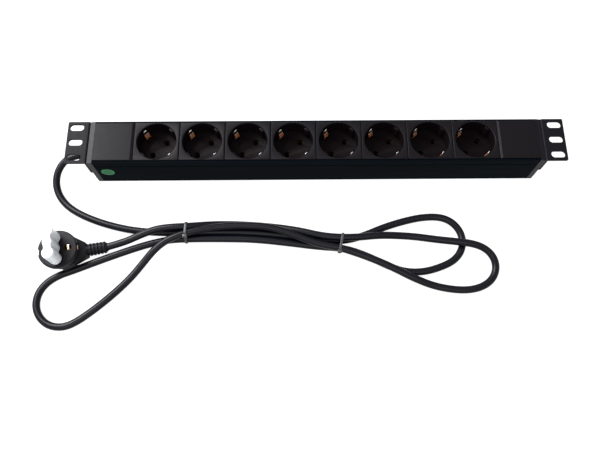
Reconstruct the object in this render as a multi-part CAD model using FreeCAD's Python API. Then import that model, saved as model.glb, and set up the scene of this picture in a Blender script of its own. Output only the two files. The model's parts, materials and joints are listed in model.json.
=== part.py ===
"""Rack power strip: a 19-inch, one-unit strip with eight earthed sockets and a folded mains lead.

X runs along the strip, Y across it and Z out of the socket faces. The strip lies on its back on Z = 0, with
its centre over the origin. Millimetres throughout.
"""
import FreeCAD, Part
import math
import os

Vector = FreeCAD.Vector
X_AXIS, Y_AXIS, Z_AXIS = Vector(1, 0, 0), Vector(0, 1, 0), Vector(0, 0, 1)

# Rack standard and overall size
RACK_WIDTH = 482.6
PANEL_HEIGHT = 44.4
SLOT_SPACING_X = 465.1
SLOT_SPACING_Y = 15.875
BODY_LENGTH = 440.0
CHANNEL_TOP = 43.0
FACE_Z = 44.4

# Extruded channel
WALL = 1.5
FLOOR = 1.8
LIP_INNER = 20.25
LIP_UNDER = 41.4
PORT_Y = 17.6
PORT_Z = 4.9
PORT_HALF = 3.0
PORT_BORE = 1.7
CAP_THICK = 5.0
CAP_TOP_DROP = 0.9

# Inside of an end cap: the tongue that locates it in the channel
TONGUE_LENGTH = 5.0
TONGUE_BOTTOM = 23.0
TONGUE_TOP = 39.0
TONGUE_WALL = 2.0

# Fasteners at each end, as (y, z), and the earth stud
EAR_SCREWS = [(-12.0, 32.0), (12.0, 32.0)]
CAP_SCREWS = [(-PORT_Y, PORT_Z), (PORT_Y, PORT_Z)]
STUD_X, STUD_Y = -183.0, -7.5
STUD_HOLE = 2.0
SCREW_RADIUS = 1.6
SCREW_HEAD_RADIUS = 3.4
SCREW_HEAD_HEIGHT = 2.2
SCREW_BOSS_RADIUS = 4.0
CAP_SCREW_HOLE = 1.9
EAR_SCREW_HOLE = 2.1

# Rack ears
EAR_THICK = 2.0
FLANGE_BOTTOM = 21.0
SLOT_LENGTH = 13.6
SLOT_HALF_WIDTH = 3.4
EAR_CORNER = 1.3

# Socket modules
SOCKET_COUNT = 8
PITCH = 44.0
MODULE_GAP = 0.4
PLATE_HALF_Y = 20.1
BEAD_HALF_Y = 20.55
BEAD_BOTTOM = 39.6
BEAD_TOP = 41.2
RECESS_RADIUS = 19.0
CUP_RADIUS = 20.0
RECESS_DEPTH = 17.5
CUP_FLOOR = 2.0
PIN_SPACING = 19.0
PIN_HOLE_RADIUS = 3.0
PIN_AXIS_DEG = 45.0
CLIP_AXIS_DEG = 135.0
CLIP_WIDTH = 5.0
CLIP_SLOT_HALF = 3.1
CLIP_SLOT_INNER = 16.6
CLIP_SLOT_OUTER = 21.2
CLIP_SLOT_TOP = 43.2
PANEL_EDGE_WIDTH = 2.4
PANEL_EDGE_DROP = 1.2
CLIP_ROOT_Z = 21.0
CLIP_THICK = 0.6
# Inner face of an earth clip as (radius from the socket's axis, z): root, inward bulge, flared tip
CLIP_FACE = [
    (18.4, CLIP_ROOT_Z), (18.4, 24.6), (17.3, 26.9), (15.9, 29.0), (15.6, 30.2), (15.8, 31.8), (17.0, 35.5),
    (17.8, 38.6), (17.8, 40.4), (17.0, 42.8),
]

# Socket bases and bus bars
BASE_BOTTOM = PORT_Z + PORT_HALF
BASE_TOP = 24.7
BASE_HALF_X = 20.5
BASE_HALF_Y = 19.0
BASE_WALL = 1.2
BAR_THICK = 0.8
BAR_Y = 10.3
BAR_BOTTOM = 12.0
BAR_TOP = 20.0
SLEEVE_RADIUS = 3.3
SLEEVE_BORE = 2.35
EARTH_Z = 10.0
EARTH_HALF_Y = 3.0

# Mains lead and its inlet
CORD_RADIUS = 3.5
INLET_Z = 14.0
GLAND_END_X = -238.0
GLAND_INNER_X = -213.0
TAIL_END = -193.0
INLET_RADIUS = 6.0
GLAND_RADIUS = 6.9
GLAND_HEAD = 2.4
CLAMP_X = -203.5
CLAMP_HALF_X = 4.0
CLAMP_HALF_Y = 12.0
CLAMP_STRAP = 2.0
CLAMP_SCREW_Y = 8.2
CORE_RADIUS = 1.4
TIE_CLEARANCE = 0.75
TIE_THICK = 0.8
TIE_WIDTH = 2.4

# Heights of the lead's centre: on the surface, on a strand below it, and the same where a tie lifts it
LOW = CORD_RADIUS
TOP = LOW + 7.3
TIED = LOW + TIE_CLEARANCE + TIE_THICK + 0.05
TIED_TOP = TOP + TIED - LOW

# Plug, lying on its back
PLUG_X, PLUG_Y = -244.3, -102.0
PLUG_TURN_DEG = 10.0
PLUG_FACE_Z = 25.0
PLUG_RADIUS = 18.5
PLUG_DISC_DEPTH = 6.0
PLUG_GRIP_RADIUS = 15.5
PLUG_BACK_RADIUS = 9.0
PLUG_BACK_DEPTH = 8.0
PLUG_CORD_Z = 7.0
RELIEF_START = 22.5
SHOULDER_MIDDLE = 11.5
RELIEF_END = 41.4
RELIEF_RADIUS = 5.2
PLUG_PIN_RADIUS = 2.4
PLUG_PIN_LENGTH = 19.0
PLUG_PIN_EMBED = 9.0
PLUG_NOTCH_DEPTH = 1.4
EARTH_HOLE_U = 10.0
EARTH_HOLE_RADIUS = 3.3
EARTH_HOLE_BOTTOM = 8.0
BRIDGE_BOTTOM = 10.5
BRIDGE_HALF_U = 4.5
BRIDGE_HALF_V = 12.0
GUARD_LIFT = 2.0
GUARD_HEIGHT = 22.0
GUARD_SHIFT = -1.2
GUARD_LOBE_V = 10.4
GUARD_LOBE_RADIUS = 5.6
GUARD_MIDDLE_RADIUS = 4.4

# Round sticker on the -Y side of the channel
STICKER_X = -204.9
STICKER_Z = 22.0
STICKER_RADIUS = 6.3
STICKER_THICK = 0.15

# Centreline of the lead, from the gland to the plug's strain relief
CORD_ROUTE = [
    # out of the gland, down to the surface and along to the left tie
    (GLAND_END_X, 0, INLET_Z), (-245.5, -1.2, 13.6), (-252.5, -5.2, 12.4), (-257.8, -12, 10.6),
    (-260.6, -20.8, 8.4), (-260.4, -30.5, 6.2), (-256.6, -40.5, 4.5), (-248.5, -50.2, LOW),
    (-236.5, -58.4, LOW), (-220, -66, LOW), (-200, -72.6, LOW), (-178, -77.4, LOW),
    (-152, -79.6, LOW + 0.3), (-128, -79.9, TIED), (-100, -79, LOW + 0.3), (-70, -79.4, LOW),
    # under the right tie and round the inner right loop
    (-42, -81.6, LOW), (-14, -85.4, LOW), (10, -88.6, LOW + 0.7), (30, -87.6, TIED), (48, -82.4, LOW + 0.2),
    (66, -75.5, LOW), (86, -69.2, LOW), (104, -65.2, LOW), (120.7, -64.6, LOW), (132.1, -68.5, LOW),
    (140.4, -77.4, LOW), (143.5, -89.1, LOW), (140.8, -100.8, LOW), (132.8, -110, LOW),
    (120.5, -116, LOW), (104.5, -120.8, LOW), (87, -121.2, LOW), (70, -115.6, LOW), (50, -104.8, LOW),
    # back along the near side of the bundle and round the left loop
    (27, -97, TIED), (2, -95.6, LOW), (-28, -91.2, LOW), (-60, -87.6, LOW), (-92, -86.8, LOW),
    (-124, -87.8, TIED), (-146, -87.6, LOW), (-168, -92.2, LOW), (-192, -100.6, LOW), (-216, -109.8, LOW),
    (-235.5, -117.6, LOW), (-247.5, -121.8, LOW), (-258.5, -128.9, LOW), (-265.3, -138.9, LOW),
    (-266.6, -151, LOW), (-262, -162.2, LOW), (-252.8, -170, LOW), (-240.9, -172.5, LOW),
    (-229.3, -169.2, LOW), (-213.5, -158, LOW), (-195, -142, LOW), (-179, -125.5, LOW),
    # up onto the bundle, arching over it to the right tie
    (-167.5, -111, 5.6), (-157.5, -99.5, 9.4), (-147.5, -91, TOP + 0.6), (-134, -84.8, TIED_TOP),
    (-116, -79.4, TOP + 0.6), (-94, -75.6, TOP - 0.6), (-70, -74.6, TOP - 0.6), (-45, -76.4, TOP),
    (-20, -84, TOP), (2, -92.8, TOP + 0.4), (22, -98.6, TIED_TOP), (40, -104.4, TOP + 0.4),
    (58, -111.6, TOP), (75, -119.8, TOP),
    # round the outer right loop and back over the inner one
    (91, -128, 8.8), (110, -134.8, 4.4), (129, -138.6, LOW), (144.5, -139.2, LOW), (156.8, -136, LOW),
    (165.8, -129, LOW), (170.4, -118.6, LOW), (169.2, -107.4, 4.6), (162.2, -98.6, 7.8),
    (151, -93.6, TOP), (136, -91.4, TOP), (117, -88.6, 8.4), (96, -86, 6.2), (76, -85.2, 7.8),
    # back under the right tie, under the arch, over the first strand and into the plug
    (58, -86, TOP), (40, -88, TOP + 0.6), (22, -87.6, TIED_TOP), (4, -82.4, 9.8), (-17, -77.4, 5.6),
    (-43, -72.8, LOW), (-72, -71.4, LOW), (-100, -71.4, LOW), (-125, -71.8, TIED), (-142, -73.2, 9),
    (-156.5, -78.2, TOP + 0.2), (-171, -84, TOP), (-186.5, -90.6, 8.4), (-203.5, -94.8, PLUG_CORD_Z),
]

# Each tie: the (y, z) centres of the strands it binds, anticlockwise seen from +X, and its X
TIES = [
    ([(-71.8, TIED), (-82.6, TIED_TOP), (-87.8, TIED)], -127.0),
    ([(-87.6, TIED), (-87.6, TIED_TOP), (-99.2, TIED_TOP), (-97.2, TIED)], 24.0),
]


def box(x0, x1, y0, y1, z0, z1):
    """Return a box between two corners."""
    return Part.makeBox(x1 - x0, y1 - y0, z1 - z0, Vector(x0, y0, z0))


def rod(radius, start, end):
    """Return a round bar from start to end."""
    axis = Vector(*end) - Vector(*start)
    return Part.makeCylinder(radius, axis.Length, Vector(*start), axis)


def cone(r0, r1, start, end):
    """Return a tapered round bar from start to end."""
    axis = Vector(*end) - Vector(*start)
    return Part.makeCone(r0, r1, axis.Length, Vector(*start), axis)


def prism(points, direction):
    """Return the solid swept by a closed polygon along a vector."""
    corners = [Vector(*p) for p in points]
    return Part.Face(Part.makePolygon(corners + corners[:1])).extrude(Vector(*direction))


def turned(shape, degrees, x=0.0, y=0.0):
    """Turn a shape about the vertical through the origin, then move it in the plane."""
    shape = shape.copy()
    shape.rotate(Vector(0, 0, 0), Z_AXIS, degrees)
    shape.translate(Vector(x, y, 0))
    return shape


def mirrored(shape):
    """Return the same shape at the other end of the strip."""
    return shape.mirror(Vector(0, 0, 0), X_AXIS)


def save(name, shape):
    """Write one node and report its solids and volume."""
    shape.exportStep("parts/%s.step" % name)
    print("%-24s solids %2d volume %10.1f valid %s" % (name, len(shape.Solids), shape.Volume, shape.isValid()))


def socket_centres():
    """Return the X of every socket, from left to right."""
    first = -(SOCKET_COUNT - 1) / 2.0 * PITCH
    return [first + i * PITCH for i in range(SOCKET_COUNT)]


# --- Channel, end caps and ears -------------------------------------------------------------------------------

def channel_half_outline():
    """Return the (y, z) outline of the +Y half of the extruded channel."""
    outer = PANEL_HEIGHT / 2.0
    inner = outer - WALL
    foot_groove, side_groove, groove_depth = 2.2, 33.4, 0.6
    return [
        (0, 0), (outer, 0), (outer, foot_groove), (outer - groove_depth, foot_groove),
        (outer - groove_depth, foot_groove + 0.8), (outer, foot_groove + 0.8), (outer, side_groove),
        (outer - groove_depth, side_groove), (outer - groove_depth, side_groove + 1.2),
        (outer, side_groove + 1.2), (outer, CHANNEL_TOP), (LIP_INNER, CHANNEL_TOP), (LIP_INNER, LIP_UNDER),
        (inner, LIP_UNDER), (inner, FLOOR), (0, FLOOR),
    ]


def make_housing():
    """Return the channel with the two screw ports that run along its floor corners."""
    end = BODY_LENGTH / 2.0 - CAP_THICK
    outline = channel_half_outline()
    half = prism([(-end, y, z) for y, z in outline], (2 * end, 0, 0))
    port = box(-end, end, PORT_Y - PORT_HALF, PANEL_HEIGHT / 2.0 - WALL, FLOOR, PORT_Z + PORT_HALF)
    half = half.fuse(port).cut(rod(PORT_BORE, (-end, PORT_Y, PORT_Z), (end, PORT_Y, PORT_Z)))
    half = half.cut(box(-end, end, PORT_Y - 0.6, PORT_Y + 0.6, PORT_Z, PORT_Z + PORT_HALF))
    stud_hole = rod(STUD_HOLE, (STUD_X, STUD_Y, 0), (STUD_X, STUD_Y, FLOOR))
    return half.fuse(half.mirror(Vector(0, 0, 0), Y_AXIS)).removeSplitter().cut(stud_hole)


def make_end_cap():
    """Return the left end cap: a flat cap, a tongue inside the channel and its screw holes."""
    end = -BODY_LENGTH / 2.0
    half_y = PANEL_HEIGHT / 2.0
    inner = half_y - WALL - 0.2
    cap = box(end, end + CAP_THICK, -half_y, half_y, 0, CHANNEL_TOP)
    slope = prism([(end, -half_y, CHANNEL_TOP), (end + CAP_THICK, -half_y, CHANNEL_TOP),
                   (end, -half_y, CHANNEL_TOP - CAP_TOP_DROP)], (0, 2 * half_y, 0))
    cap = cap.cut(slope)
    face, reach = end + CAP_THICK, end + CAP_THICK + TONGUE_LENGTH
    tongue = box(face, reach, -inner, inner, TONGUE_BOTTOM, TONGUE_TOP)
    tongue = tongue.cut(box(face, reach, -inner + TONGUE_WALL, inner - TONGUE_WALL, TONGUE_BOTTOM + TONGUE_WALL,
                            TONGUE_TOP))
    bosses = [rod(SCREW_BOSS_RADIUS, (face, y, z), (reach, y, z)) for y, z in EAR_SCREWS]
    cap = cap.fuse([tongue] + bosses)
    for y, z in EAR_SCREWS:
        cap = cap.cut(rod(CAP_SCREW_HOLE, (end, y, z), (reach, y, z)))
    for y, z in CAP_SCREWS:
        cap = cap.cut(rod(CAP_SCREW_HOLE, (end, y, z), (face, y, z)))
    return cap


def ear_slot(x, y):
    """Return the cutter of one rack slot, long along X."""
    reach = SLOT_LENGTH / 2.0 - SLOT_HALF_WIDTH
    z0, z1 = CHANNEL_TOP - EAR_THICK - 1.0, CHANNEL_TOP + 1.0
    cutter = box(x - reach, x + reach, y - SLOT_HALF_WIDTH, y + SLOT_HALF_WIDTH, z0, z1)
    ends = [rod(SLOT_HALF_WIDTH, (x + s * reach, y, z0), (x + s * reach, y, z1)) for s in (-1, 1)]
    return cutter.fuse(ends).removeSplitter()


def make_ear():
    """Return the left rack ear: a folded plate with three slots."""
    end = -BODY_LENGTH / 2.0
    tip = -RACK_WIDTH / 2.0
    half_y = PANEL_HEIGHT / 2.0
    plate = box(tip, end, -half_y, half_y, CHANNEL_TOP - EAR_THICK, CHANNEL_TOP)
    flange = box(end - EAR_THICK, end, -half_y, half_y, FLANGE_BOTTOM, CHANNEL_TOP)
    ear = plate.fuse(flange).removeSplitter()
    bend = [e for e in ear.Edges if e.BoundBox.XMin > end - 0.1 and e.BoundBox.ZMin > CHANNEL_TOP - 0.1]
    ear = ear.makeFillet(EAR_THICK * 0.95, bend)
    corners = [e for e in ear.Edges if e.BoundBox.XMax < tip + 0.1 and e.BoundBox.ZLength > 1.0]
    ear = ear.makeFillet(EAR_CORNER, corners)
    for step in (-1, 0, 1):
        ear = ear.cut(ear_slot(-SLOT_SPACING_X / 2.0, step * SLOT_SPACING_Y))
    for y, z in EAR_SCREWS:
        ear = ear.cut(rod(EAR_SCREW_HOLE, (end - EAR_THICK, y, z), (end, y, z)))
    return ear


def pan_screws(places, head_x, length):
    """Return pan-head screws that enter the left end of the strip along +X."""
    screws = []
    for y, z in places:
        top_x = head_x - SCREW_HEAD_HEIGHT
        head = rod(SCREW_HEAD_RADIUS, (top_x, y, z), (head_x, y, z))
        recess = rod(1.5, (top_x, y, z), (top_x + 1.2, y, z))
        screws.append(head.fuse(rod(SCREW_RADIUS, (head_x, y, z), (head_x + length, y, z))).cut(recess))
    return Part.makeCompound(screws)


def build_frame():
    """Write the channel, end caps, ears and their screws."""
    save("housing", make_housing())
    cap = make_end_cap()
    end = -BODY_LENGTH / 2.0
    inlet = rod(INLET_RADIUS, (end, 0, INLET_Z), (end + CAP_THICK, 0, INLET_Z))
    save("end_cap_left", cap.cut(inlet))
    save("end_cap_right", mirrored(cap))
    ear = make_ear()
    save("ear_left", ear)
    save("ear_right", mirrored(ear))
    ear_screws = pan_screws(EAR_SCREWS, end - EAR_THICK, 10.0)
    save("ear_screws", Part.makeCompound([ear_screws, mirrored(ear_screws)]))
    cap_screws = pan_screws(CAP_SCREWS, end, 14.0)
    save("end_cap_screws", Part.makeCompound([cap_screws, mirrored(cap_screws)]))


# --- Socket modules -------------------------------------------------------------------------------------------

def face_plate(half_x):
    """Return a module plate: a proud face and the bead that snaps under the channel's lips."""
    face = box(-half_x, half_x, -PLATE_HALF_Y, PLATE_HALF_Y, BEAD_TOP, FACE_Z)
    rim = [e for e in face.Edges if e.BoundBox.ZMin > FACE_Z - 0.1]
    face = face.makeChamfer(0.5, rim)
    bead = box(-half_x, half_x, -BEAD_HALF_Y, BEAD_HALF_Y, BEAD_BOTTOM, BEAD_TOP)
    return face.fuse(bead)


def make_blank_panel(half_x):
    """Return the left blank panel: a module plate whose socket-side edge slopes down."""
    edge = prism([(half_x, -PLATE_HALF_Y, FACE_Z), (half_x - PANEL_EDGE_WIDTH, -PLATE_HALF_Y, FACE_Z),
                  (half_x, -PLATE_HALF_Y, FACE_Z - PANEL_EDGE_DROP)], (0, 2 * PLATE_HALF_Y, 0))
    return face_plate(half_x).cut(edge)


def make_socket_front():
    """Return one socket front, centred on the vertical axis."""
    recess_z = FACE_Z - RECESS_DEPTH
    front = face_plate((PITCH - MODULE_GAP) / 2.0)
    front = front.fuse(rod(CUP_RADIUS, (0, 0, recess_z - CUP_FLOOR), (0, 0, BEAD_TOP)))
    front = front.cut(rod(RECESS_RADIUS, (0, 0, recess_z), (0, 0, FACE_Z + 1.0)))
    front = front.cut(cone(RECESS_RADIUS, RECESS_RADIUS + 0.6, (0, 0, FACE_Z - 0.6), (0, 0, FACE_Z)))
    for side in (0, 180):
        rib = box(RECESS_RADIUS - 1.5, RECESS_RADIUS + 0.4, -2.2, 2.2, recess_z, FACE_Z - 2.4)
        front = front.fuse(turned(rib, PIN_AXIS_DEG + side))
        pin_x = PIN_SPACING / 2.0
        hole = rod(PIN_HOLE_RADIUS, (pin_x, 0, recess_z - CUP_FLOOR), (pin_x, 0, recess_z))
        front = front.cut(turned(hole, PIN_AXIS_DEG + side))
        slot = box(CLIP_SLOT_INNER, CLIP_SLOT_OUTER, -CLIP_SLOT_HALF, CLIP_SLOT_HALF, 20.0, CLIP_SLOT_TOP)
        front = front.cut(turned(slot, CLIP_AXIS_DEG + side))
    return front.removeSplitter()


def make_socket_base():
    """Return one base tub with the slots that its bus bars pass through."""
    base = box(-BASE_HALF_X, BASE_HALF_X, -BASE_HALF_Y, BASE_HALF_Y, BASE_BOTTOM, BASE_TOP)
    base = base.cut(box(-BASE_HALF_X + BASE_WALL, BASE_HALF_X - BASE_WALL, -BASE_HALF_Y + BASE_WALL,
                        BASE_HALF_Y - BASE_WALL, BASE_BOTTOM + BASE_WALL, BASE_TOP))
    for y in (-BAR_Y, BAR_Y):
        base = base.cut(box(-BASE_HALF_X, BASE_HALF_X, y - 0.8, y + 0.8, BAR_BOTTOM - 0.3, BASE_TOP))
    return base.cut(box(-BASE_HALF_X, BASE_HALF_X, -EARTH_HALF_Y - 0.4, EARTH_HALF_Y + 0.4, EARTH_Z - 0.3,
                        EARTH_Z + BAR_THICK + 0.4))


def make_earth_clip():
    """Return one spring clip that stands on the +X side of a socket."""
    outer = [(r + CLIP_THICK, z) for r, z in reversed(CLIP_FACE)]
    profile = [(r, -CLIP_WIDTH / 2.0, z) for r, z in CLIP_FACE + outer]
    return prism(profile, (0, CLIP_WIDTH, 0))


def build_modules():
    """Write the socket fronts, bases, earth clips and blank panels."""
    front = make_socket_front()
    base = make_socket_base()
    clip = make_earth_clip()
    for number, x in enumerate(socket_centres(), 1):
        save("socket_front_%d" % number, turned(front, 0, x))
        save("socket_base_%d" % number, turned(base, 0, x))
        save("earth_clip_%d_upper" % number, turned(clip, CLIP_AXIS_DEG, x))
        save("earth_clip_%d_lower" % number, turned(clip, CLIP_AXIS_DEG + 180, x))
    sockets_end = SOCKET_COUNT / 2.0 * PITCH
    panel_end = BODY_LENGTH / 2.0 - CAP_THICK
    panel = make_blank_panel((panel_end - sockets_end - MODULE_GAP) / 2.0)
    panel = turned(panel, 0, -(panel_end + sockets_end) / 2.0)
    save("blank_panel_left", panel)
    save("blank_panel_right", mirrored(panel))


# --- Bus bars and wiring --------------------------------------------------------------------------------------

def make_bar(side):
    """Return the live (side -1) or neutral (side 1) bar with a contact sleeve for every socket."""
    reach = SOCKET_COUNT / 2.0 * PITCH
    bar = box(-reach - 2.0, reach - 4.0, side * BAR_Y - BAR_THICK / 2.0, side * BAR_Y + BAR_THICK / 2.0,
              BAR_BOTTOM, BAR_TOP)
    offset = side * PIN_SPACING / 2.0 * math.cos(math.radians(PIN_AXIS_DEG))
    for x in socket_centres():
        foot = (x + offset, offset, BAR_BOTTOM)
        sleeve = rod(SLEEVE_RADIUS, foot, (foot[0], foot[1], 23.8))
        bar = bar.fuse(sleeve)
    for x in socket_centres():
        foot = (x + offset, offset, BAR_BOTTOM)
        bar = bar.cut(rod(SLEEVE_BORE, foot, (foot[0], foot[1], 23.8)))
        split = (foot[0] - 0.4, foot[0] + 0.4) + tuple(sorted((foot[1], foot[1] - side * 4.0)))
        bar = bar.cut(box(*split, BAR_BOTTOM, 23.8))
    return bar


def make_earth_bar():
    """Return the earth bar: a flat strip with a pair of upturned arms under every pair of clips."""
    reach = SOCKET_COUNT / 2.0 * PITCH
    bar = box(-reach - 2.0, reach - 4.0, -EARTH_HALF_Y, EARTH_HALF_Y, EARTH_Z, EARTH_Z + BAR_THICK)
    half = CLIP_WIDTH / 2.0
    arm = box(0, 19.0, -half, half, EARTH_Z, EARTH_Z + BAR_THICK)
    root = CLIP_FACE[0][0]
    arm = arm.fuse(box(root, root + CLIP_THICK, -half, half, EARTH_Z, CLIP_ROOT_Z - 0.1))
    arms = []
    for x in socket_centres():
        arms += [turned(arm, CLIP_AXIS_DEG, x), turned(arm, CLIP_AXIS_DEG + 180, x)]
    return bar.fuse(arms).removeSplitter()


def tangent_path(points):
    """Return straight runs joined by tangent arcs, and the arc radii."""
    route = [Vector(*p) for p in points]
    edges, radii, last = [], [], route[0]
    for before, corner, after in zip(route, route[1:], route[2:]):
        into, out = corner - before, after - corner
        cut = 0.45 * min(into.Length, out.Length)
        half_turn = into.getAngle(out) / 2.0
        radii.append(cut / math.tan(half_turn))
        into.normalize()
        out.normalize()
        start, end = corner - into * cut, corner + out * cut
        inward = out - into
        inward.normalize()
        centre = corner + inward * (radii[-1] / math.cos(half_turn))
        middle = centre - inward * radii[-1]
        edges.append(Part.LineSegment(last, start).toShape())
        edges.append(Part.Arc(start, middle, end).toShape())
        last = end
    edges.append(Part.LineSegment(last, route[-1]).toShape())
    return Part.Wire(edges), radii


def tube(points, radius):
    """Return a round tube along a route, and its length and smallest arc radius."""
    path, radii = tangent_path(points)
    heading = Vector(*points[1]) - Vector(*points[0])
    section = Part.Wire(Part.Circle(Vector(*points[0]), heading, radius).toShape())
    solid = path.makePipeShell([section], True, True)
    return solid, path.Length, min(radii)


def build_wiring():
    """Write the bus bars, core wires, sheath tail, cord clamp and earth stud."""
    save("live_bus_bar", make_bar(-1))
    save("neutral_bus_bar", make_bar(1))
    save("earth_bus_bar", make_earth_bar())
    bar_end = -SOCKET_COUNT / 2.0 * PITCH - 2.0
    live, _, _ = tube([(TAIL_END, -1.6, 13.2), (-189, -2.6, 13.6), (-183.5, -8.0, 15.6), (bar_end, -BAR_Y, 16)],
                      CORE_RADIUS)
    neutral, _, _ = tube([(TAIL_END, 1.6, 13.2), (-189, 2.6, 13.6), (-183.5, 8.0, 15.6), (bar_end, BAR_Y, 16)],
                         CORE_RADIUS)
    earth, _, _ = tube([(TAIL_END, 0, 16.1), (-190, 0, 16.2), (-184.5, 0, 14.6), (-181.5, 0, 11.6),
                        (bar_end, 0, 10.4)], CORE_RADIUS * 0.9)
    save("live_wire", live)
    save("neutral_wire", neutral)
    save("earth_wire", earth)
    tail = rod(CORD_RADIUS, (GLAND_INNER_X, 0, INLET_Z), (TAIL_END, 0, INLET_Z))
    save("cord_tail", tail)
    x0, x1 = CLAMP_X - CLAMP_HALF_X, CLAMP_X + CLAMP_HALF_X
    cord_bottom, cord_top = INLET_Z - CORD_RADIUS, INLET_Z + CORD_RADIUS
    screw_top = cord_top + CLAMP_STRAP
    block = box(x0, x1, -CLAMP_HALF_Y, CLAMP_HALF_Y, FLOOR, cord_bottom)
    strap = box(x0, x1, -CLAMP_HALF_Y, CLAMP_HALF_Y, cord_top, screw_top)
    legs = [box(x0, x1, *side, cord_bottom, cord_top) for side in ((-CLAMP_HALF_Y, -4.5), (4.5, CLAMP_HALF_Y))]
    clamp = block.fuse(legs + [strap]).removeSplitter()
    screws = []
    for y in (-CLAMP_SCREW_Y, CLAMP_SCREW_Y):
        clamp = clamp.cut(rod(1.6, (CLAMP_X, y, FLOOR + 1.0), (CLAMP_X, y, screw_top)))
        shank = rod(1.5, (CLAMP_X, y, FLOOR + 1.2), (CLAMP_X, y, screw_top))
        screws.append(shank.fuse(rod(2.8, (CLAMP_X, y, screw_top), (CLAMP_X, y, screw_top + 2.0))))
    save("cord_clamp", clamp)
    save("clamp_screws", Part.makeCompound(screws))
    stud = rod(1.95, (STUD_X, STUD_Y, 0.2), (STUD_X, STUD_Y, 9.0))
    nut = prism([(STUD_X + 3.5 * math.cos(math.radians(a)), STUD_Y + 3.5 * math.sin(math.radians(a)), 2.8)
                 for a in range(0, 360, 60)], (0, 0, 3.0))
    washer = rod(4.2, (STUD_X, STUD_Y, FLOOR), (STUD_X, STUD_Y, 2.8))
    save("earth_stud", stud.fuse([washer, nut]))


# --- Mains lead, ties and plug --------------------------------------------------------------------------------

def make_gland():
    """Return the moulded strain relief that holds the lead in the left end cap."""
    end = -BODY_LENGTH / 2.0
    z = INLET_Z
    collar = rod(GLAND_RADIUS, (end + CAP_THICK, 0, z), (GLAND_INNER_X, 0, z))
    neck = rod(INLET_RADIUS - 0.05, (end, 0, z), (end + CAP_THICK, 0, z))
    head = rod(GLAND_RADIUS, (end - GLAND_HEAD, 0, z), (end, 0, z))
    taper = cone(5.8, 4.4, (end - GLAND_HEAD, 0, z), (GLAND_END_X, 0, z))
    return collar.fuse([neck, head, taper])


def strap_loop(centres, radius):
    """Return the disc inside a taut loop round strands at (y, z) centres, at a distance from them."""
    edges = []
    runs = list(zip(centres, centres[1:] + centres[:1]))
    normals = []
    for (y0, z0), (y1, z1) in runs:
        run = math.hypot(y1 - y0, z1 - z0)
        normals.append(Vector(0, (z1 - z0) / run, -(y1 - y0) / run))
    for (start, end), normal, following in zip(runs, normals, normals[1:] + normals[:1]):
        last, corner = Vector(0, *start) + normal * radius, Vector(0, *end)
        bisector = normal + following
        bisector.normalize()
        edges.append(Part.LineSegment(last, corner + normal * radius).toShape())
        bend = Part.Arc(corner + normal * radius, corner + bisector * radius, corner + following * radius)
        edges.append(bend.toShape())
    return Part.Face(Part.Wire(edges)).extrude(Vector(TIE_WIDTH, 0, 0))


def band(centres, x):
    """Return a tie: the closed band that it makes round its strands, with its small head on top."""
    inner = CORD_RADIUS + TIE_CLEARANCE
    strap = strap_loop(centres, inner + TIE_THICK).cut(strap_loop(centres, inner))
    strap.translate(Vector(x - TIE_WIDTH / 2.0, 0, 0))
    top_y, top_z = max(centres, key=lambda place: place[1])
    head_z = top_z + inner + TIE_THICK - 0.2
    head = box(x - 1.9, x + 1.9, top_y - 2.0, top_y + 2.0, head_z, head_z + 1.6)
    return strap.fuse(head)


def build_cord():
    """Write the lead, its gland, the two ties and the inspection sticker."""
    save("cord_gland", make_gland())
    cord, length, smallest = tube(CORD_ROUTE, CORD_RADIUS)
    expected = math.pi * CORD_RADIUS ** 2 * length
    ratio = cord.Volume / expected
    print("lead length %.1f mm, smallest arc %.1f mm, volume ratio %.4f" % (length, smallest, ratio))
    save("mains_cord", cord)
    save("cable_ties", Part.makeCompound([band(strands, x) for strands, x in TIES]))
    side = -PANEL_HEIGHT / 2.0
    save("inspection_sticker", rod(STICKER_RADIUS, (STICKER_X, side, STICKER_Z),
                                   (STICKER_X, side - STICKER_THICK, STICKER_Z)))


def tapered_block(u0, half0, low0, high0, u1, half1, low1, high1):
    """Return a block along X whose end faces differ in width and height."""
    ends = []
    for u, half, low, high in ((u0, half0, low0, high0), (u1, half1, low1, high1)):
        corners = [Vector(u, -half, low), Vector(u, half, low), Vector(u, half, high), Vector(u, -half, high)]
        ends.append(Part.makePolygon(corners + corners[:1]))
    return Part.makeLoft(ends, True, True)


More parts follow.
